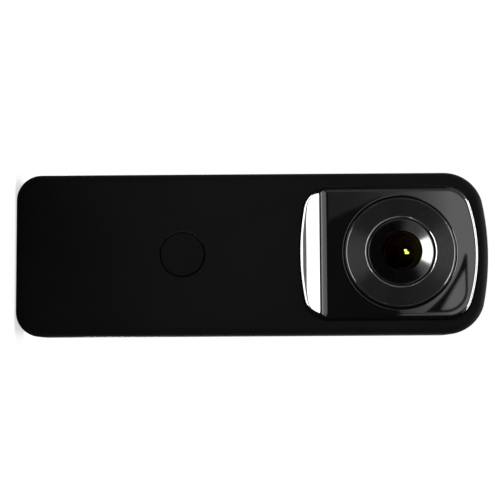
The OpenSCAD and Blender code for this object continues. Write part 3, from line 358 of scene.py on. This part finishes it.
# Mesh helpers
def add_object(name, mesh, look):
    mesh.materials.append(look)
    obj = bpy.data.objects.new(name, mesh)
    bpy.context.scene.collection.objects.link(obj)
    return obj


def piece(name, mesh_maker, look, body=BODY, sharp=35.0):
    """Smooth object on a body, with edges over the sharp angle (degrees) kept."""
    mesh = bpy.data.meshes.new(name)
    bm = bmesh.new()
    mesh_maker(bm)
    bmesh.ops.recalc_face_normals(bm, faces=bm.faces)
    bm.to_mesh(mesh)
    bm.free()
    mesh.polygons.foreach_set("use_smooth", [True] * len(mesh.polygons))
    mesh.set_sharp_from_angle(angle=math.radians(sharp))
    obj = add_object(name, mesh, look)
    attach(obj, body)
    return obj


def block(bm, lo, hi, bevel):
    """Box between two corners (mm) with bevelled edges."""
    made = bmesh.ops.create_cube(bm, size=1.0)["verts"]
    lo, hi = Vector(lo) * MM, Vector(hi) * MM
    for v in made:
        v.co = Vector(lo[i] + (v.co[i] + 0.5) * (hi[i] - lo[i]) for i in range(3))
    edges = {e for v in made for e in v.link_edges}
    bmesh.ops.bevel(bm, geom=list(edges), offset=bevel * MM, segments=2, profile=0.6, affect="EDGES")


def lathe(bm, profile, way, steps, level):
    """Turns a closed profile of (radius, distance from the middle plane), in mm, about an axis along Y."""
    rings = []
    for r, w in profile:
        if r < 1e-6:
            rings.append([bm.verts.new((0.0, way * w * MM, level))])
            continue
        ring = []
        for j in range(steps):
            a = 2.0 * math.pi * j / steps
            ring.append(bm.verts.new((r * math.cos(a) * MM, way * w * MM, level + r * math.sin(a) * MM)))
        rings.append(ring)
    for k in range(len(rings)):
        a, b = rings[k], rings[(k + 1) % len(rings)]
        if len(a) == 1 and len(b) == 1:
            continue
        for j in range(steps):
            i = (j + 1) % steps
            if len(a) == 1:
                bm.faces.new((a[0], b[i], b[j]))
            elif len(b) == 1:
                bm.faces.new((a[j], a[i], b[0]))
            else:
                bm.faces.new((a[j], a[i], b[i], b[j]))


def curve(centre, radius, start, end, steps):
    """Points of an arc about (0, centre) in a profile; angles in degrees from the lens axis."""
    turn = [math.radians(start + (end - start) * k / steps) for k in range(steps + 1)]
    return [(radius * math.sin(t), centre + radius * math.cos(t)) for t in turn]


def reach_angle(reach, ball):
    """Angle in degrees at which an arc of the ball's radius is this far from the axis."""
    return math.degrees(math.asin(reach / ball))


def rounded(points, radii, steps=5):
    """Profile with its listed corners rounded: radii gives the radius by corner number."""
    out = []
    count = len(points)
    for i, p in enumerate(points):
        r = radii.get(i, 0.0)
        if r == 0.0:
            out.append(p)
            continue
        p = Vector(p)
        a, b = Vector(points[i - 1]) - p, Vector(points[(i + 1) % count]) - p
        half = a.angle(b) / 2.0
        reach = r / math.tan(half)
        a, b = a.normalized(), b.normalized()
        mid = p + (a + b).normalized() * (r / math.sin(half))
        start, end = p + a * reach - mid, p + b * reach - mid
        for k in range(steps + 1):
            d = start.slerp(end, k / steps)
            out.append(tuple(mid + d.normalized() * r))
    return out


# Lens stack, turned about the lens axis
def ring_face(r):
    return SHOULDER_W + (SHOULDER_R - r) * RING_SLOPE


def ring_profile():
    """Ring with sine grooves, a rolled shoulder and a bright-cut inner rim."""
    start, stop, grooves, groove_steps, groove_half = 14.6, 9.9, 11, 8, 0.014
    hollow_r, flange_r, wall_r, flange_w, wall_w = 13.6, 16.4, 15.2, 8.4, 11.25
    count = grooves * groove_steps
    face = []
    for k in range(1, count + 1):
        r = start - (start - stop) * k / count
        dip = groove_half * (1.0 - math.cos(2.0 * math.pi * k / groove_steps))
        face.append((r, ring_face(r) - dip))
    outside = [
        (hollow_r, SEAT_W), (flange_r, SEAT_W), (flange_r, flange_w), (wall_r, flange_w),
        (wall_r, wall_w), (SHOULDER_R, SHOULDER_W), (start, ring_face(start)),
    ]
    roll, roll_r, roll_w = 1.052, 10.194, RIM_W - 0.899
    rim = [(RIM_R, RIM_W)]
    for k in range(7):
        t = math.radians(28.0 + 3.5 * k)
        rim.append((roll_r - roll * math.sin(t), roll_w + roll * math.cos(t)))
    back = [(BORE_R, BORE_W), (hollow_r, SHOULDER_W - 1.9)]
    return rounded(outside, {4: 0.12, 5: 0.12}, 4) + face + rim + back


def cone_profile():
    foot, hollow = BORE_W - 0.77, CONE_BASE_W - 0.4
    corners = [
        (CONE_HOLLOW_R, foot), (CONE_R, foot), (CONE_R, CONE_BASE_W + 0.057), (MOUTH_R, CONE_TIP_W),
        (MOUTH_BORE_R, CONE_TIP_W), (MOUTH_BORE_R, hollow), (CONE_HOLLOW_R, hollow),
    ]
    return rounded(corners, {2: 0.05, 3: 0.1})


def dome_profile():
    hollow_ball, hollow_drop = 5.0, 2.6
    under = math.degrees(math.acos(hollow_drop / hollow_ball))
    top = curve(DOME_TOP_W - DOME_BALL, DOME_BALL, 0.0, reach_angle(DOME_R, DOME_BALL), 40)
    return top + [(DOME_R, NECK_W)] + curve(NECK_W - hollow_drop, hollow_ball, under, 0.0, 30)


def element_profiles():
    """Meniscus under the dome and two lenses in the barrel."""
    low, ball, radius, height = NECK_W - 2.55, 7.0, 4.15, 3.4
    first = curve(low + height - ball, ball, 0.0, reach_angle(radius, ball), 30)
    found = [first + [(radius, low), (0.0, low)]]
    barrel_foot, small_radius = 4.4, 3.1
    room = NECK_W - 2.6 - barrel_foot
    for share, thick, ball in ((0.73, 2.2, 6.0), (0.27, 2.0, 7.0)):
        mid = barrel_foot + share * room
        top = curve(mid + thick / 2.0 - ball, ball, 0.0, reach_angle(small_radius, ball), 24)
        found.append(top + [(r, 2.0 * mid - w) for r, w in reversed(top)])
    return found


def turned(bm, profiles, way):
    for profile in profiles:
        lathe(bm, profile, way, LENS_ROUND, LENS_Z)


for side, way in SIDES:
    for part, profiles, look, slot, sharp in (
        ("lens_ring", [ring_profile()], RING, "ring_satin", 28.0),
        ("lens_cone", [cone_profile()], CONE, "gloss_black", 30.0),
        ("dome_glass", [dome_profile()], DOME, "lens_glass", 30.0),
        ("inner_lenses", element_profiles(), INNER_GLASS, "lens_glass", 30.0),
    ):
        made = piece(f"{side}_{part}_fine", lambda bm: turned(bm, profiles, way), look, sharp=sharp)
        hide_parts(f"{side}_{part}")


# Shutter button: flange, stem and flush cap, which is 0.22 mm smaller than the solid so that its gap shows
def button_mesh(bm):
    level = 46.3 * MM
    stem_r, flange_r, cap_r = 1.5, 7.0, 5.93
    foot, flange_foot, flange_top, top = 4.7, 6.1, 6.8, 8.5
    corners = [
        (0.0, foot), (stem_r, foot), (stem_r, flange_foot), (flange_r, flange_foot),
        (flange_r, flange_top), (cap_r, flange_top), (cap_r, top), (0.0, top),
    ]
    lathe(bm, rounded(corners, {3: 0.12, 4: 0.12, 6: 0.06}, 4), -1.0, ROUND, level)


button = piece("shutter_button_fine", button_mesh, BUTTON, "shutter_button", 30.0)
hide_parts("shutter_button")


# Lens plate: outline, rounded edge and ramp, with exact normals so that its gloss runs smooth
P_HALF, P_LO, P_HI, P_CORNER = 18.4, 78.8, 127.9, 7.0
P_LO_ARC, P_HI_ARC, P_EDGE = 75.0, 45.0, 1.7
HOLE_R, LIP_R = 15.4, 15.85
RAMP_LENGTH, RAMP_DROP, RAMP_BLEND = 7.9, 1.7, 1.0
RAMP_V = P_LO + RAMP_LENGTH
RAMP_R = RAMP_LENGTH / math.sin(2.0 * math.atan(RAMP_DROP / RAMP_LENGTH))
RAMP_W = PLATE_TOP - RAMP_R
RAMP_ROWS, EDGE_STEPS, LIP_STEPS = 40, 20, 8
TURN = [2.0 * math.pi * k / ROUND for k in range(ROUND)]
FLAT, RAMP, FILLET, WALL, BORE, UNDER = range(6)


def plate_outline():
    """Points of the outline with their outward normals, once round."""
    cu = P_HALF - P_CORNER
    hi_v = P_HI - P_HI_ARC + math.sqrt((P_HI_ARC - P_CORNER) ** 2 - cu ** 2)
    lo_v = P_LO + P_LO_ARC - math.sqrt((P_LO_ARC - P_CORNER) ** 2 - cu ** 2)
    hi_a = reach_angle(cu, P_HI_ARC - P_CORNER)
    lo_a = reach_angle(cu, P_LO_ARC - P_CORNER)
    arcs = (
        (cu, hi_v, P_CORNER, 0.0, 90.0 - hi_a, 60),
        (0.0, P_HI - P_HI_ARC, P_HI_ARC, 90.0 - hi_a, 90.0 + hi_a, 60),
        (-cu, hi_v, P_CORNER, 90.0 + hi_a, 180.0, 60),
        (-cu, lo_v, P_CORNER, 180.0, 270.0 - lo_a, 90),
        (0.0, P_LO + P_LO_ARC, P_LO_ARC, 270.0 - lo_a, 270.0 + lo_a, 90),
        (cu, lo_v, P_CORNER, 270.0 + lo_a, 360.0, 90),
    )
    out = []
    for u, v, r, start, end, steps in arcs:
        ends_side = end in (180.0, 360.0)
        for k in range(steps + (1 if ends_side else 0)):
            t = math.radians(start + (end - start) * k / steps)
            n = Vector((math.cos(t), math.sin(t)))
            out.append((Vector((u, v)) + n * r, n))
    return out


def ramp_w(v):
    return PLATE_TOP if v >= RAMP_V else RAMP_W + math.sqrt(RAMP_R ** 2 - (v - RAMP_V) ** 2)


def edge_point(p, n, t):
    """Place and normal on the rounded edge, t up from the wall, softly joined with the ramp."""
    q = p - n * P_EDGE * (1.0 - math.cos(t))
    w = PLATE_TOP - P_EDGE + P_EDGE * math.sin(t)
    low = ramp_w(q.y)
    blend = min(RAMP_BLEND, PLATE_TOP - low)
    share = max(0.0, min(1.0, 0.5 + (low - w) / (2.0 * blend))) if blend > 1e-9 else 1.0
    slope = (q.y - RAMP_V) / (low - RAMP_W) if q.y < RAMP_V else 0.0
    normal = Vector((n.x * math.cos(t), n.y * math.cos(t), math.sin(t))) * share
    normal += Vector((0.0, slope, 1.0)) * math.sin(t) * (1.0 - share)
    w = w * share + low * (1.0 - share) - blend * share * (1.0 - share)
    return (q.x, q.y, w), tuple(normal.normalized())


def circle_points(r):
    return [Vector((r * math.cos(t), LENS_V + r * math.sin(t))) for t in TURN]


class PlateMesh:
    """Lens plate in the making, in mm: across the body, along it, and out from its middle plane."""

    def __init__(self):
        self.outline = plate_outline()
        self.bm = bmesh.new()
        self.kind = self.bm.faces.layers.int.new("kind")
        self.edge_n = self.bm.verts.layers.float_vector.new("edge_n")

    def vert(self, u, v, w, n=(0.0, 0.0, 1.0)):
        made = self.bm.verts.new((u, v, w))
        made[self.edge_n] = n
        return made

    def face(self, corners, kind):
        made = self.bm.faces.new(corners)
        made[self.kind] = kind

    def band(self, low, high, kind):
        """Faces between two rows of vertices that run once round."""
        for i in range(len(low)):
            j = (i + 1) % len(low)
            self.face((low[i], low[j], high[j], high[i]), kind)

    def add_top(self):
        """Middle of the top, cut into rows on the ramp."""
        top = bmesh.new()
        for loop in ([p - n * P_EDGE for p, n in self.outline], circle_points(LIP_R)):
            made = [top.verts.new((p.x, p.y, 0.0)) for p in loop]
            for i in range(len(made)):
                top.edges.new((made[i - 1], made[i]))
        bmesh.ops.triangle_fill(top, edges=top.edges[:], use_beauty=True)
        start = P_LO + P_EDGE
        for k in range(RAMP_ROWS + 1):
            cut = (0.0, start + (RAMP_V - start) * k / RAMP_ROWS, 0.0)
            whole = top.verts[:] + top.edges[:] + top.faces[:]
            bmesh.ops.bisect_plane(top, geom=whole, plane_co=cut, plane_no=(0.0, 1.0, 0.0))
        copies = {}
        for v in top.verts:
            copies[v] = self.vert(v.co.x, v.co.y, ramp_w(v.co.y))
        for f in top.faces:
            kind = RAMP if f.calc_center_median().y < RAMP_V else FLAT
            self.face([copies[v] for v in f.verts], kind)
        top.free()

    def add_edge(self):
        """Rounded edge and side wall; gives back the wall's foot."""
        rows = []
        for k in range(EDGE_STEPS + 1):
            t = math.pi / 2.0 * k / EDGE_STEPS
            points = [edge_point(p, n, t) for p, n in self.outline]
            rows.append([self.vert(*at, normal) for at, normal in points])
        for low, high in zip(rows, rows[1:]):
            self.band(low, high, FILLET)
        outward = [(n.x, n.y, 0.0) for p, n in self.outline]
        foot = [self.vert(p.x, p.y, SEAT_W, side_n) for (p, n), side_n in zip(self.outline, outward)]
        brow = [self.vert(*v.co, side_n) for v, side_n in zip(rows[0], outward)]
        self.band(foot, brow, WALL)
        return foot

    def add_opening(self):
        """Opening for the ring with its rolled lip; gives back its lowest circle."""
        lip = LIP_R - HOLE_R
        circles = []
        for k in range(LIP_STEPS + 1):
            tilt = math.pi / 2.0 * k / LIP_STEPS
            inward, outward = math.sin(tilt), math.cos(tilt)
            w = PLATE_TOP - lip + lip * outward
            circle = []
            for p, t in zip(circle_points(LIP_R - lip * inward), TURN):
                n = (-math.cos(t) * inward, -math.sin(t) * inward, outward)
                circle.append(self.vert(p.x, p.y, w, n))
            circles.append(circle)
        for low, high in zip(circles, circles[1:]):
            self.band(low, high, FILLET)
        last = [self.vert(p.x, p.y, SEAT_W) for p in circle_points(HOLE_R)]
        self.band(circles[-1], last, BORE)
        return last

    def add_under(self, foot, circle):
        """Underside, between the wall's foot and the points of the opening nearest to it."""
        nearest = []
        for v in foot:
            share = math.atan2(v.co.y - LENS_V, v.co.x) / (2.0 * math.pi)
            nearest.append(circle[round(share * ROUND) % ROUND])
        for i in range(len(foot)):
            j = (i + 1) % len(foot)
            inner = (nearest[j], nearest[i]) if nearest[i] != nearest[j] else (nearest[i],)
            self.face((foot[i], foot[j], *inner), UNDER)

    def normal(self, vert, kind):
        """Exact normal of a vertex on a kind of face."""
        if kind in (FILLET, WALL):
            return Vector(vert[self.edge_n]).normalized()
        if kind == RAMP:
            return Vector((0.0, vert.co.y - RAMP_V, ramp_w(vert.co.y) - RAMP_W)).normalized()
        if kind == BORE:
            return Vector((-vert.co.x, LENS_V - vert.co.y, 0.0)).normalized()
        return Vector((0.0, 0.0, 1.0 if kind == FLAT else -1.0))

    def finished(self, name, way):
        """Mesh in its place on the front or the rear, with every face turned the way its normals point."""
        self.bm.verts.index_update()
        faces, normals = [], []
        for f in self.bm.faces:
            corners = [v.index for v in f.verts]
            own = [self.normal(v, f[self.kind]) for v in f.verts]
            f.normal_update()
            if f.normal.dot(own[-1]) < 0.0:
                corners.reverse()
                own.reverse()
            faces.append(corners)
            normals += own
        place = [(-way * v.co.x * MM, way * v.co.z * MM, v.co.y * MM) for v in self.bm.verts]
        self.bm.free()
        mesh = bpy.data.meshes.new(name)
        mesh.from_pydata(place, [], faces)
        mesh.polygons.foreach_set("use_smooth", [True] * len(mesh.polygons))
        mesh.normals_split_custom_set([(-way * n.x, way * n.z, n.y) for n in normals])
        return mesh


for side, way in SIDES:
    plate = PlateMesh()
    plate.add_top()
    wall_foot = plate.add_edge()
    plate.add_under(wall_foot, plate.add_opening())
    plate_name = f"{side}_lens_plate_fine"
    obj = add_object(plate_name, plate.finished(plate_name, way), GLOSS)
    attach(obj, BODY)
    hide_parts(f"{side}_lens_plate")


# Tripod insert with its helical thread
def thread_insert(bm):
    pitch, minor, depth = 1.27, 2.55, 0.5
    mouth, mouth_lead, mouth_depth, run_out = 0.35, 0.7, 0.55, 0.8
    floor_z, top, mouth_r = 6.5, 8.0, 3.35
    barrel_r, groove_r, flange_r = 4.6, 3.85, 5.5
    groove_lo, groove_hi, flange_top = 2.9, 4.5, 1.0
    chamfer, flange_chamfer = 0.15, 0.1
    outer = [
        (0.0, top), (barrel_r - chamfer, top), (barrel_r, top - chamfer), (barrel_r, groove_hi),
        (groove_r, groove_hi), (groove_r, groove_lo), (barrel_r, groove_lo), (barrel_r, flange_top),
        (flange_r - flange_chamfer, flange_top), (flange_r, flange_top - flange_chamfer),
        (flange_r, flange_chamfer), (flange_r - flange_chamfer, 0.0), (mouth_r, 0.0),
    ]
    turns, steps = 72, 66
    columns = []
    for j in range(turns):
        a = 2.0 * math.pi * j / turns
        profile = list(outer)
        for k in range(steps + 1):
            z = mouth + (floor_z - mouth) * k / steps
            t = (z / pitch - j / turns) % 1.0
            tooth = max(0.0, min(1.0, 1.85 - 2.7 * abs(2.0 * t - 1.0)))
            fade = min(1.0, (floor_z - z) / run_out)
            lead = max(0.0, 1.0 - (z - mouth) / mouth_lead)
            profile.append((minor + max(depth * tooth * fade, mouth_depth * lead), z))
        profile.append((0.0, floor_z))
        places = [(r * math.cos(a) * MM, r * math.sin(a) * MM, z * MM) for r, z in profile]
        columns.append([bm.verts.new(place) for place in places])
    for j in range(turns):
        left, right = columns[j], columns[(j + 1) % turns]
        for k in range(len(left) - 1):
            bm.faces.new((left[k], right[k], right[k + 1], left[k + 1]))
    bmesh.ops.remove_doubles(bm, verts=bm.verts, dist=1e-6)


insert = piece("tripod_thread_insert", thread_insert, BRASS, sharp=40.0)
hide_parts("tripod_socket")

# USB tongue with its contacts, set over the plain tongue of the port
USB_X, USB_Y = 13.0, 0.4
TONGUE_HALF_X, TONGUE_HALF_Y, TONGUE_LO, TONGUE_HI = 3.34, 0.38, 1.76, 6.9


def usb_tongue(bm):
    lo = (USB_X - TONGUE_HALF_X, USB_Y - TONGUE_HALF_Y, TONGUE_LO)
    hi = (USB_X + TONGUE_HALF_X, USB_Y + TONGUE_HALF_Y, TONGUE_HI)
    block(bm, lo, hi, 0.09)


def usb_contacts(bm):
    count, pitch, half_wide, half_thick, foot = 12, 0.5, 0.14, 0.02, 2.1
    long_ones = (0, 3, 8, 11)
    for way in (-1.0, 1.0):
        face = USB_Y + way * (TONGUE_HALF_Y - 0.005)
        for i in range(count):
            u = USB_X + (i - (count - 1) / 2.0) * pitch
            top = foot + (3.6 if i in long_ones else 3.2)
            lo = (u - half_wide, face - half_thick, foot)
            hi = (u + half_wide, face + half_thick, top)
            block(bm, lo, hi, 0.012)


piece("usb_tongue_cover", usb_tongue, PLASTIC)
piece("usb_contacts", usb_contacts, GOLD)


# Contacts on the inner end of the memory card
def card_contacts(bm):
    count, pitch, half_wide, middle = 8, 1.1, 0.38, 31.0
    for i in range(count):
        z = middle + (i - (count - 1) / 2.0) * pitch
        block(bm, (-11.0, -0.155, z - half_wide), (-8.1, -0.14, z + half_wide), 0.006)


piece("card_contacts", card_contacts, GOLD, "memory_card")


# Fine gauze behind the microphone's hole: wires across and wires up, woven by a small lift
def gauze(bm):
    hole_y, hole_z, hole_r = -2.7, 56.0, 0.48
    pitch, half_wire, weave, bevel = 0.11, 0.03, 0.02, 0.01
    across_x, up_x, thick = -21.62, -21.60, 0.05
    for i in range(-4, 5):
        aside = i * pitch
        reach = math.sqrt(max(0.0, hole_r ** 2 - aside ** 2))
        if reach > 0.1:
            lift = weave * (i % 2)
            x, y, z = across_x + lift, hole_y, hole_z + aside
            block(bm, (x, y - reach, z - half_wire), (x + thick, y + reach, z + half_wire), bevel)
            x, y, z = up_x - lift, hole_y + aside, hole_z
            block(bm, (x, y - half_wire, z - reach), (x + thick, y + half_wire, z + reach), bevel)


piece("microphone_gauze", gauze, STEEL)


# Floor: white, with the shading near the object kept for its shadow, and a black card that only gloss sees
def floor_look(name):
    mat = bpy.data.materials.new(name)
    mat.use_nodes = True
    g = Graph(mat.node_tree)
    out = g.node("ShaderNodeOutputMaterial")
    paper = g.node("ShaderNodeBsdfDiffuse")
    g.fill(paper, {"Color": grey(0.86)})
    glow = g.node("ShaderNodeEmission")
    path = g.node("ShaderNodeLightPath").outputs
    far = g.vector("LENGTH", g.node("ShaderNodeTexCoord").outputs["Object"])
    mirrored = g.math("MAXIMUM", path["Is Glossy Ray"], path["Is Transmission Ray"])
    fading = g.product(mirrored, g.span(g.math("DIVIDE", 1.0, far), 0.0, 1.0, 0.1, 1.1))
    shown = g.math("MAXIMUM", path["Is Camera Ray"], fading)
    seen = g.product(shown, g.span(far, 0.65, 1.0, 0.02, 0.28, True))
    g.blend(seen, paper, glow, out.inputs["Surface"])
    return mat


def card_look(name):
    m = Look(name, Roughness=0.9, Specular_IOR_Level=0.0)
    m.set(Base_Color=m.mix(m.noise(400.0), grey(0.003), grey(0.006)))
    return m.mat


def sheet(name, half_x, half_y, z, look):
    """Level rectangle about the middle, as part of the stage."""
    corners = [(-half_x, -half_y, z), (half_x, -half_y, z), (half_x, half_y, z), (-half_x, half_y, z)]
    mesh = bpy.data.meshes.new(name)
    mesh.from_pydata(corners, [], [(0, 1, 2, 3)])
    obj = add_object(name, mesh, look)
    return obj


sheet("studio_floor", 0.8, 6.0, -0.06 * MM, floor_look("studio_floor"))
card = sheet("black_card", 0.8, 0.48, -0.03 * MM, card_look("black_card"))
card.visible_camera = False
card.visible_diffuse = False
card.visible_shadow = False


# World: white to the camera, and to the rest a room that is the same in front and behind
def dark_triangle(g, left, high):
    """Dark curved triangle low on the panel: two arcs, cut off at its tip, with a lighter patch inside."""
    inner_arc = g.length(g.math("SUBTRACT", left, 0.10165), g.math("SUBTRACT", high, 0.07933))
    beside = g.math("MAXIMUM", g.math("SUBTRACT", 0.0534, left), 0.0)
    above = g.math("MAXIMUM", g.math("SUBTRACT", high, 0.14185), 0.0)
    outer_arc = g.length(beside, above)
    slant = g.total(g.product(left, -0.5256), g.product(high, 0.8507), -0.09808)
    tip = g.ease(left, 0.083, 0.0785)
    whole = g.product(g.ease(inner_arc, 0.0805, 0.0817), g.ease(outer_arc, 0.0187, 0.0175), tip)
    patch = g.product(g.ease(slant, -0.001, 0.0022), g.ease(outer_arc, 0.0167, 0.0151))
    return g.product(whole, g.math("SUBTRACT", 1.0, patch))


def room_light(g):
    """Grey panel that brightens upwards, dark at its lower left, with a ceiling and two side walls."""
    axis = g.node("ShaderNodeSeparateXYZ")
    g.link(g.node("ShaderNodeTexCoord").outputs["Generated"], axis.inputs[0])
    dx, dy, dz = axis.outputs
    ahead = g.total(g.math("ABSOLUTE", dy), 0.001)
    high = g.math("DIVIDE", dz, ahead)
    left = g.math("DIVIDE", g.product(dx, g.math("SIGN", dy)), ahead)
    glow = g.product(g.math("EXPONENT", g.span(high, 0.0, 2.9, 0.07, 0.16)), 0.083)
    past_side = g.math("SUBTRACT", left, g.product(high, 0.45))
    past_top = g.total(high, g.product(left, 0.163))
    clear = g.math("MAXIMUM", g.ease(past_side, 0.0805, 0.0851), g.ease(past_top, 0.112, 0.1156))
    clear = g.product(clear, g.span(dark_triangle(g, left, high), 1.0, 0.0))
    across = g.product(g.ease(left, 0.4, 0.14), g.ease(left, -0.5, -0.2))
    panel = g.product(glow, clear, across, g.ease(high, 0.02, 0.06), g.ease(high, 1.2, 0.5))
    ceiling = g.product(g.ease(dz, 0.6, 0.95), 0.7)
    aside = g.math("DIVIDE", dx, ahead)
    rise = g.total(dz, g.product(ahead, 0.4))
    wall = g.product(g.ease(aside, -0.12, -0.5), g.ease(rise, 0.12, 0.5), 0.3)
    far_wall = g.product(g.ease(aside, 0.1, 0.25), g.ease(aside, 1.2, 0.6), g.ease(dz, 0.104, 0.112), 0.5)
    return g.total(panel, ceiling, wall, far_wall)


def studio_world():
    base_light, diffuse_extra = 0.01, 0.15
    world = bpy.data.worlds.new("studio")
    bpy.context.scene.world = world
    world.use_nodes = True
    g = Graph(world.node_tree)
    out = g.node("ShaderNodeOutputWorld")
    path = g.node("ShaderNodeLightPath").outputs
    room = room_light(g)
    shown = g.product(g.math("MAXIMUM", path["Is Glossy Ray"], path["Is Transmission Ray"]), room)
    diffuse = g.product(path["Is Diffuse Ray"], g.total(room, diffuse_extra))
    soft = g.node("ShaderNodeBackground")
    white = g.node("ShaderNodeBackground")
    g.fill(soft, {"Color": grey(1.0), "Strength": g.total(diffuse, base_light)})
    g.fill(white, {"Color": grey(1.0)})
    g.blend(g.math("MAXIMUM", path["Is Camera Ray"], shown), soft, white, out.inputs["Surface"])


studio_world()


# Lamps: places and sizes in metres, with the radiance given
def lamp(name, at, look_at, wide, deep, radiance):
    data = bpy.data.lights.new(name, "AREA")
    data.shape = "RECTANGLE"
    data.size = wide
    data.size_y = deep
    data.energy = radiance * 4.0 * wide * deep
    obj = bpy.data.objects.new(name, data)
    back = (Vector(at) - Vector(look_at)).normalized()
    up = back.cross(Vector((1.0, 0.0, 0.0))).normalized()
    right = up.cross(back).normalized()
    obj.matrix_world = Matrix.Translation(at) @ Matrix((right, up, back)).transposed().to_4x4()
    obj.visible_camera = False
    bpy.context.scene.collection.objects.link(obj)
    return obj


def overhead_lamp(name, way, x, wide, radiance):
    """Strip above the lens end, tilted towards it."""
    return lamp(name, (x, way * 0.088, 0.406), (x, way * 0.03, 0.106), wide, 0.10, radiance)


def floor_lamp(name, x, y, wide, deep, radiance):
    """Strip that lies just over the floor and faces up."""
    return lamp(name, (x, y, 0.004), (x, y, 1.0), wide, deep, radiance)


def linked(lamps, parts, state):
    """Light linking: the lamps reach these lens parts alone, or all but these."""
    group = bpy.data.collections.new(f"{lamps[0].name}_{state.lower()}")
    for side, _ in SIDES:
        for part in parts:
            group.objects.link(bpy.data.objects[f"{side}_{part}_fine"])
    for entry in group.collection_objects:
        entry.light_linking.link_state = state
    for obj in lamps:
        obj.light_linking.receiver_collection = group


# Strips for the body and the plate, which the glass, the cone and, from below, the ring don't see
GLASS = ("dome_glass", "inner_lenses")
overhead = (
    overhead_lamp("overhead_strip", -1.0, -0.0175, 0.365, 9.0),
    overhead_lamp("rear_strip", 1.0, 0.0175, 0.365, 8.0),
)
low = (
    floor_lamp("low_front_strip", -0.03, -0.239, 0.13, 0.242, 10.0),
    floor_lamp("low_rear_strip", 0.03, 0.239, 0.13, 0.242, 8.0),
)
linked(overhead, GLASS + ("lens_cone",), "EXCLUDE")
linked(low, GLASS + ("lens_ring", "lens_cone"), "EXCLUDE")

# On each side lamps of their own for the glass, the ring, the cone and the plate's ramp
RAMP_LAMPS = (
    ("strip", 0.062, 0.13, 0.064, 10.0),
    ("streak", 0.106, 0.13, 0.024, 0.9),
    ("band", 0.545, 0.26, 0.13, 0.8),
)
for side, way in SIDES:
    focus = (0.0, way * 0.0165, LENS_Z)
    box = lamp(f"{side}_catch_box", (way * -0.006, way * 0.358, 0.262), focus, 0.17, 0.15, 520.0)
    spot = lamp(f"{side}_catch_spot", (way * -0.03, way * 0.46, 0.174), focus, 0.06, 0.06, 9000.0)
    linked((box, spot), GLASS, "INCLUDE")
    strip = floor_lamp(f"{side}_ring_strip", 0.0, way * 0.145, 0.13, 0.23, 3.5)
    glow = lamp(f"{side}_ring_glow", (way * 0.034, way * 0.38, 0.29), focus, 0.12, 0.12, 5.0)
    linked((strip, glow), ("lens_ring",), "INCLUDE")
    bar = overhead_lamp(f"{side}_cone_strip", way, way * 0.0425, 0.265, 9.0)
    linked((bar,), ("lens_cone",), "INCLUDE")
    near = [
        floor_lamp(f"{side}_ramp_{word}", way * 0.03, way * reach, wide, deep, level)
        for word, reach, wide, deep, level in RAMP_LAMPS
    ]
    linked(near, ("lens_plate",), "INCLUDE")

# Camera at the photograph's angle: the body lies along the image, lens end to the right
AZ, EL, ROLL = math.radians(4.83), math.radians(0.39), math.radians(-0.383)
AIM, DIST = Vector((-0.00179, 0.0, 0.06493)), 0.3688
FOCAL_PX, PHOTO_PX, SENSOR_MM = 1305.4, 500.0, 36.0
back = Vector((math.sin(AZ) * math.cos(EL), -math.cos(AZ) * math.cos(EL), math.sin(EL)))
right = (Vector((0.0, 0.0, 1.0)) - back * back.z).normalized()
up = back.cross(right)
right, up = math.cos(ROLL) * right + math.sin(ROLL) * up, math.cos(ROLL) * up - math.sin(ROLL) * right
cam_data = bpy.data.cameras.new("photo_camera")
cam_data.sensor_width = SENSOR_MM
cam_data.lens = SENSOR_MM * FOCAL_PX / PHOTO_PX
cam_data.clip_start = 0.01
cam = bpy.data.objects.new("photo_camera", cam_data)
cam.matrix_world = Matrix.Translation(AIM + DIST * back) @ Matrix((right, up, back)).transposed().to_4x4()
bpy.context.scene.collection.objects.link(cam)
bpy.context.scene.camera = cam
bpy.context.scene.view_settings.view_transform = "Standard"
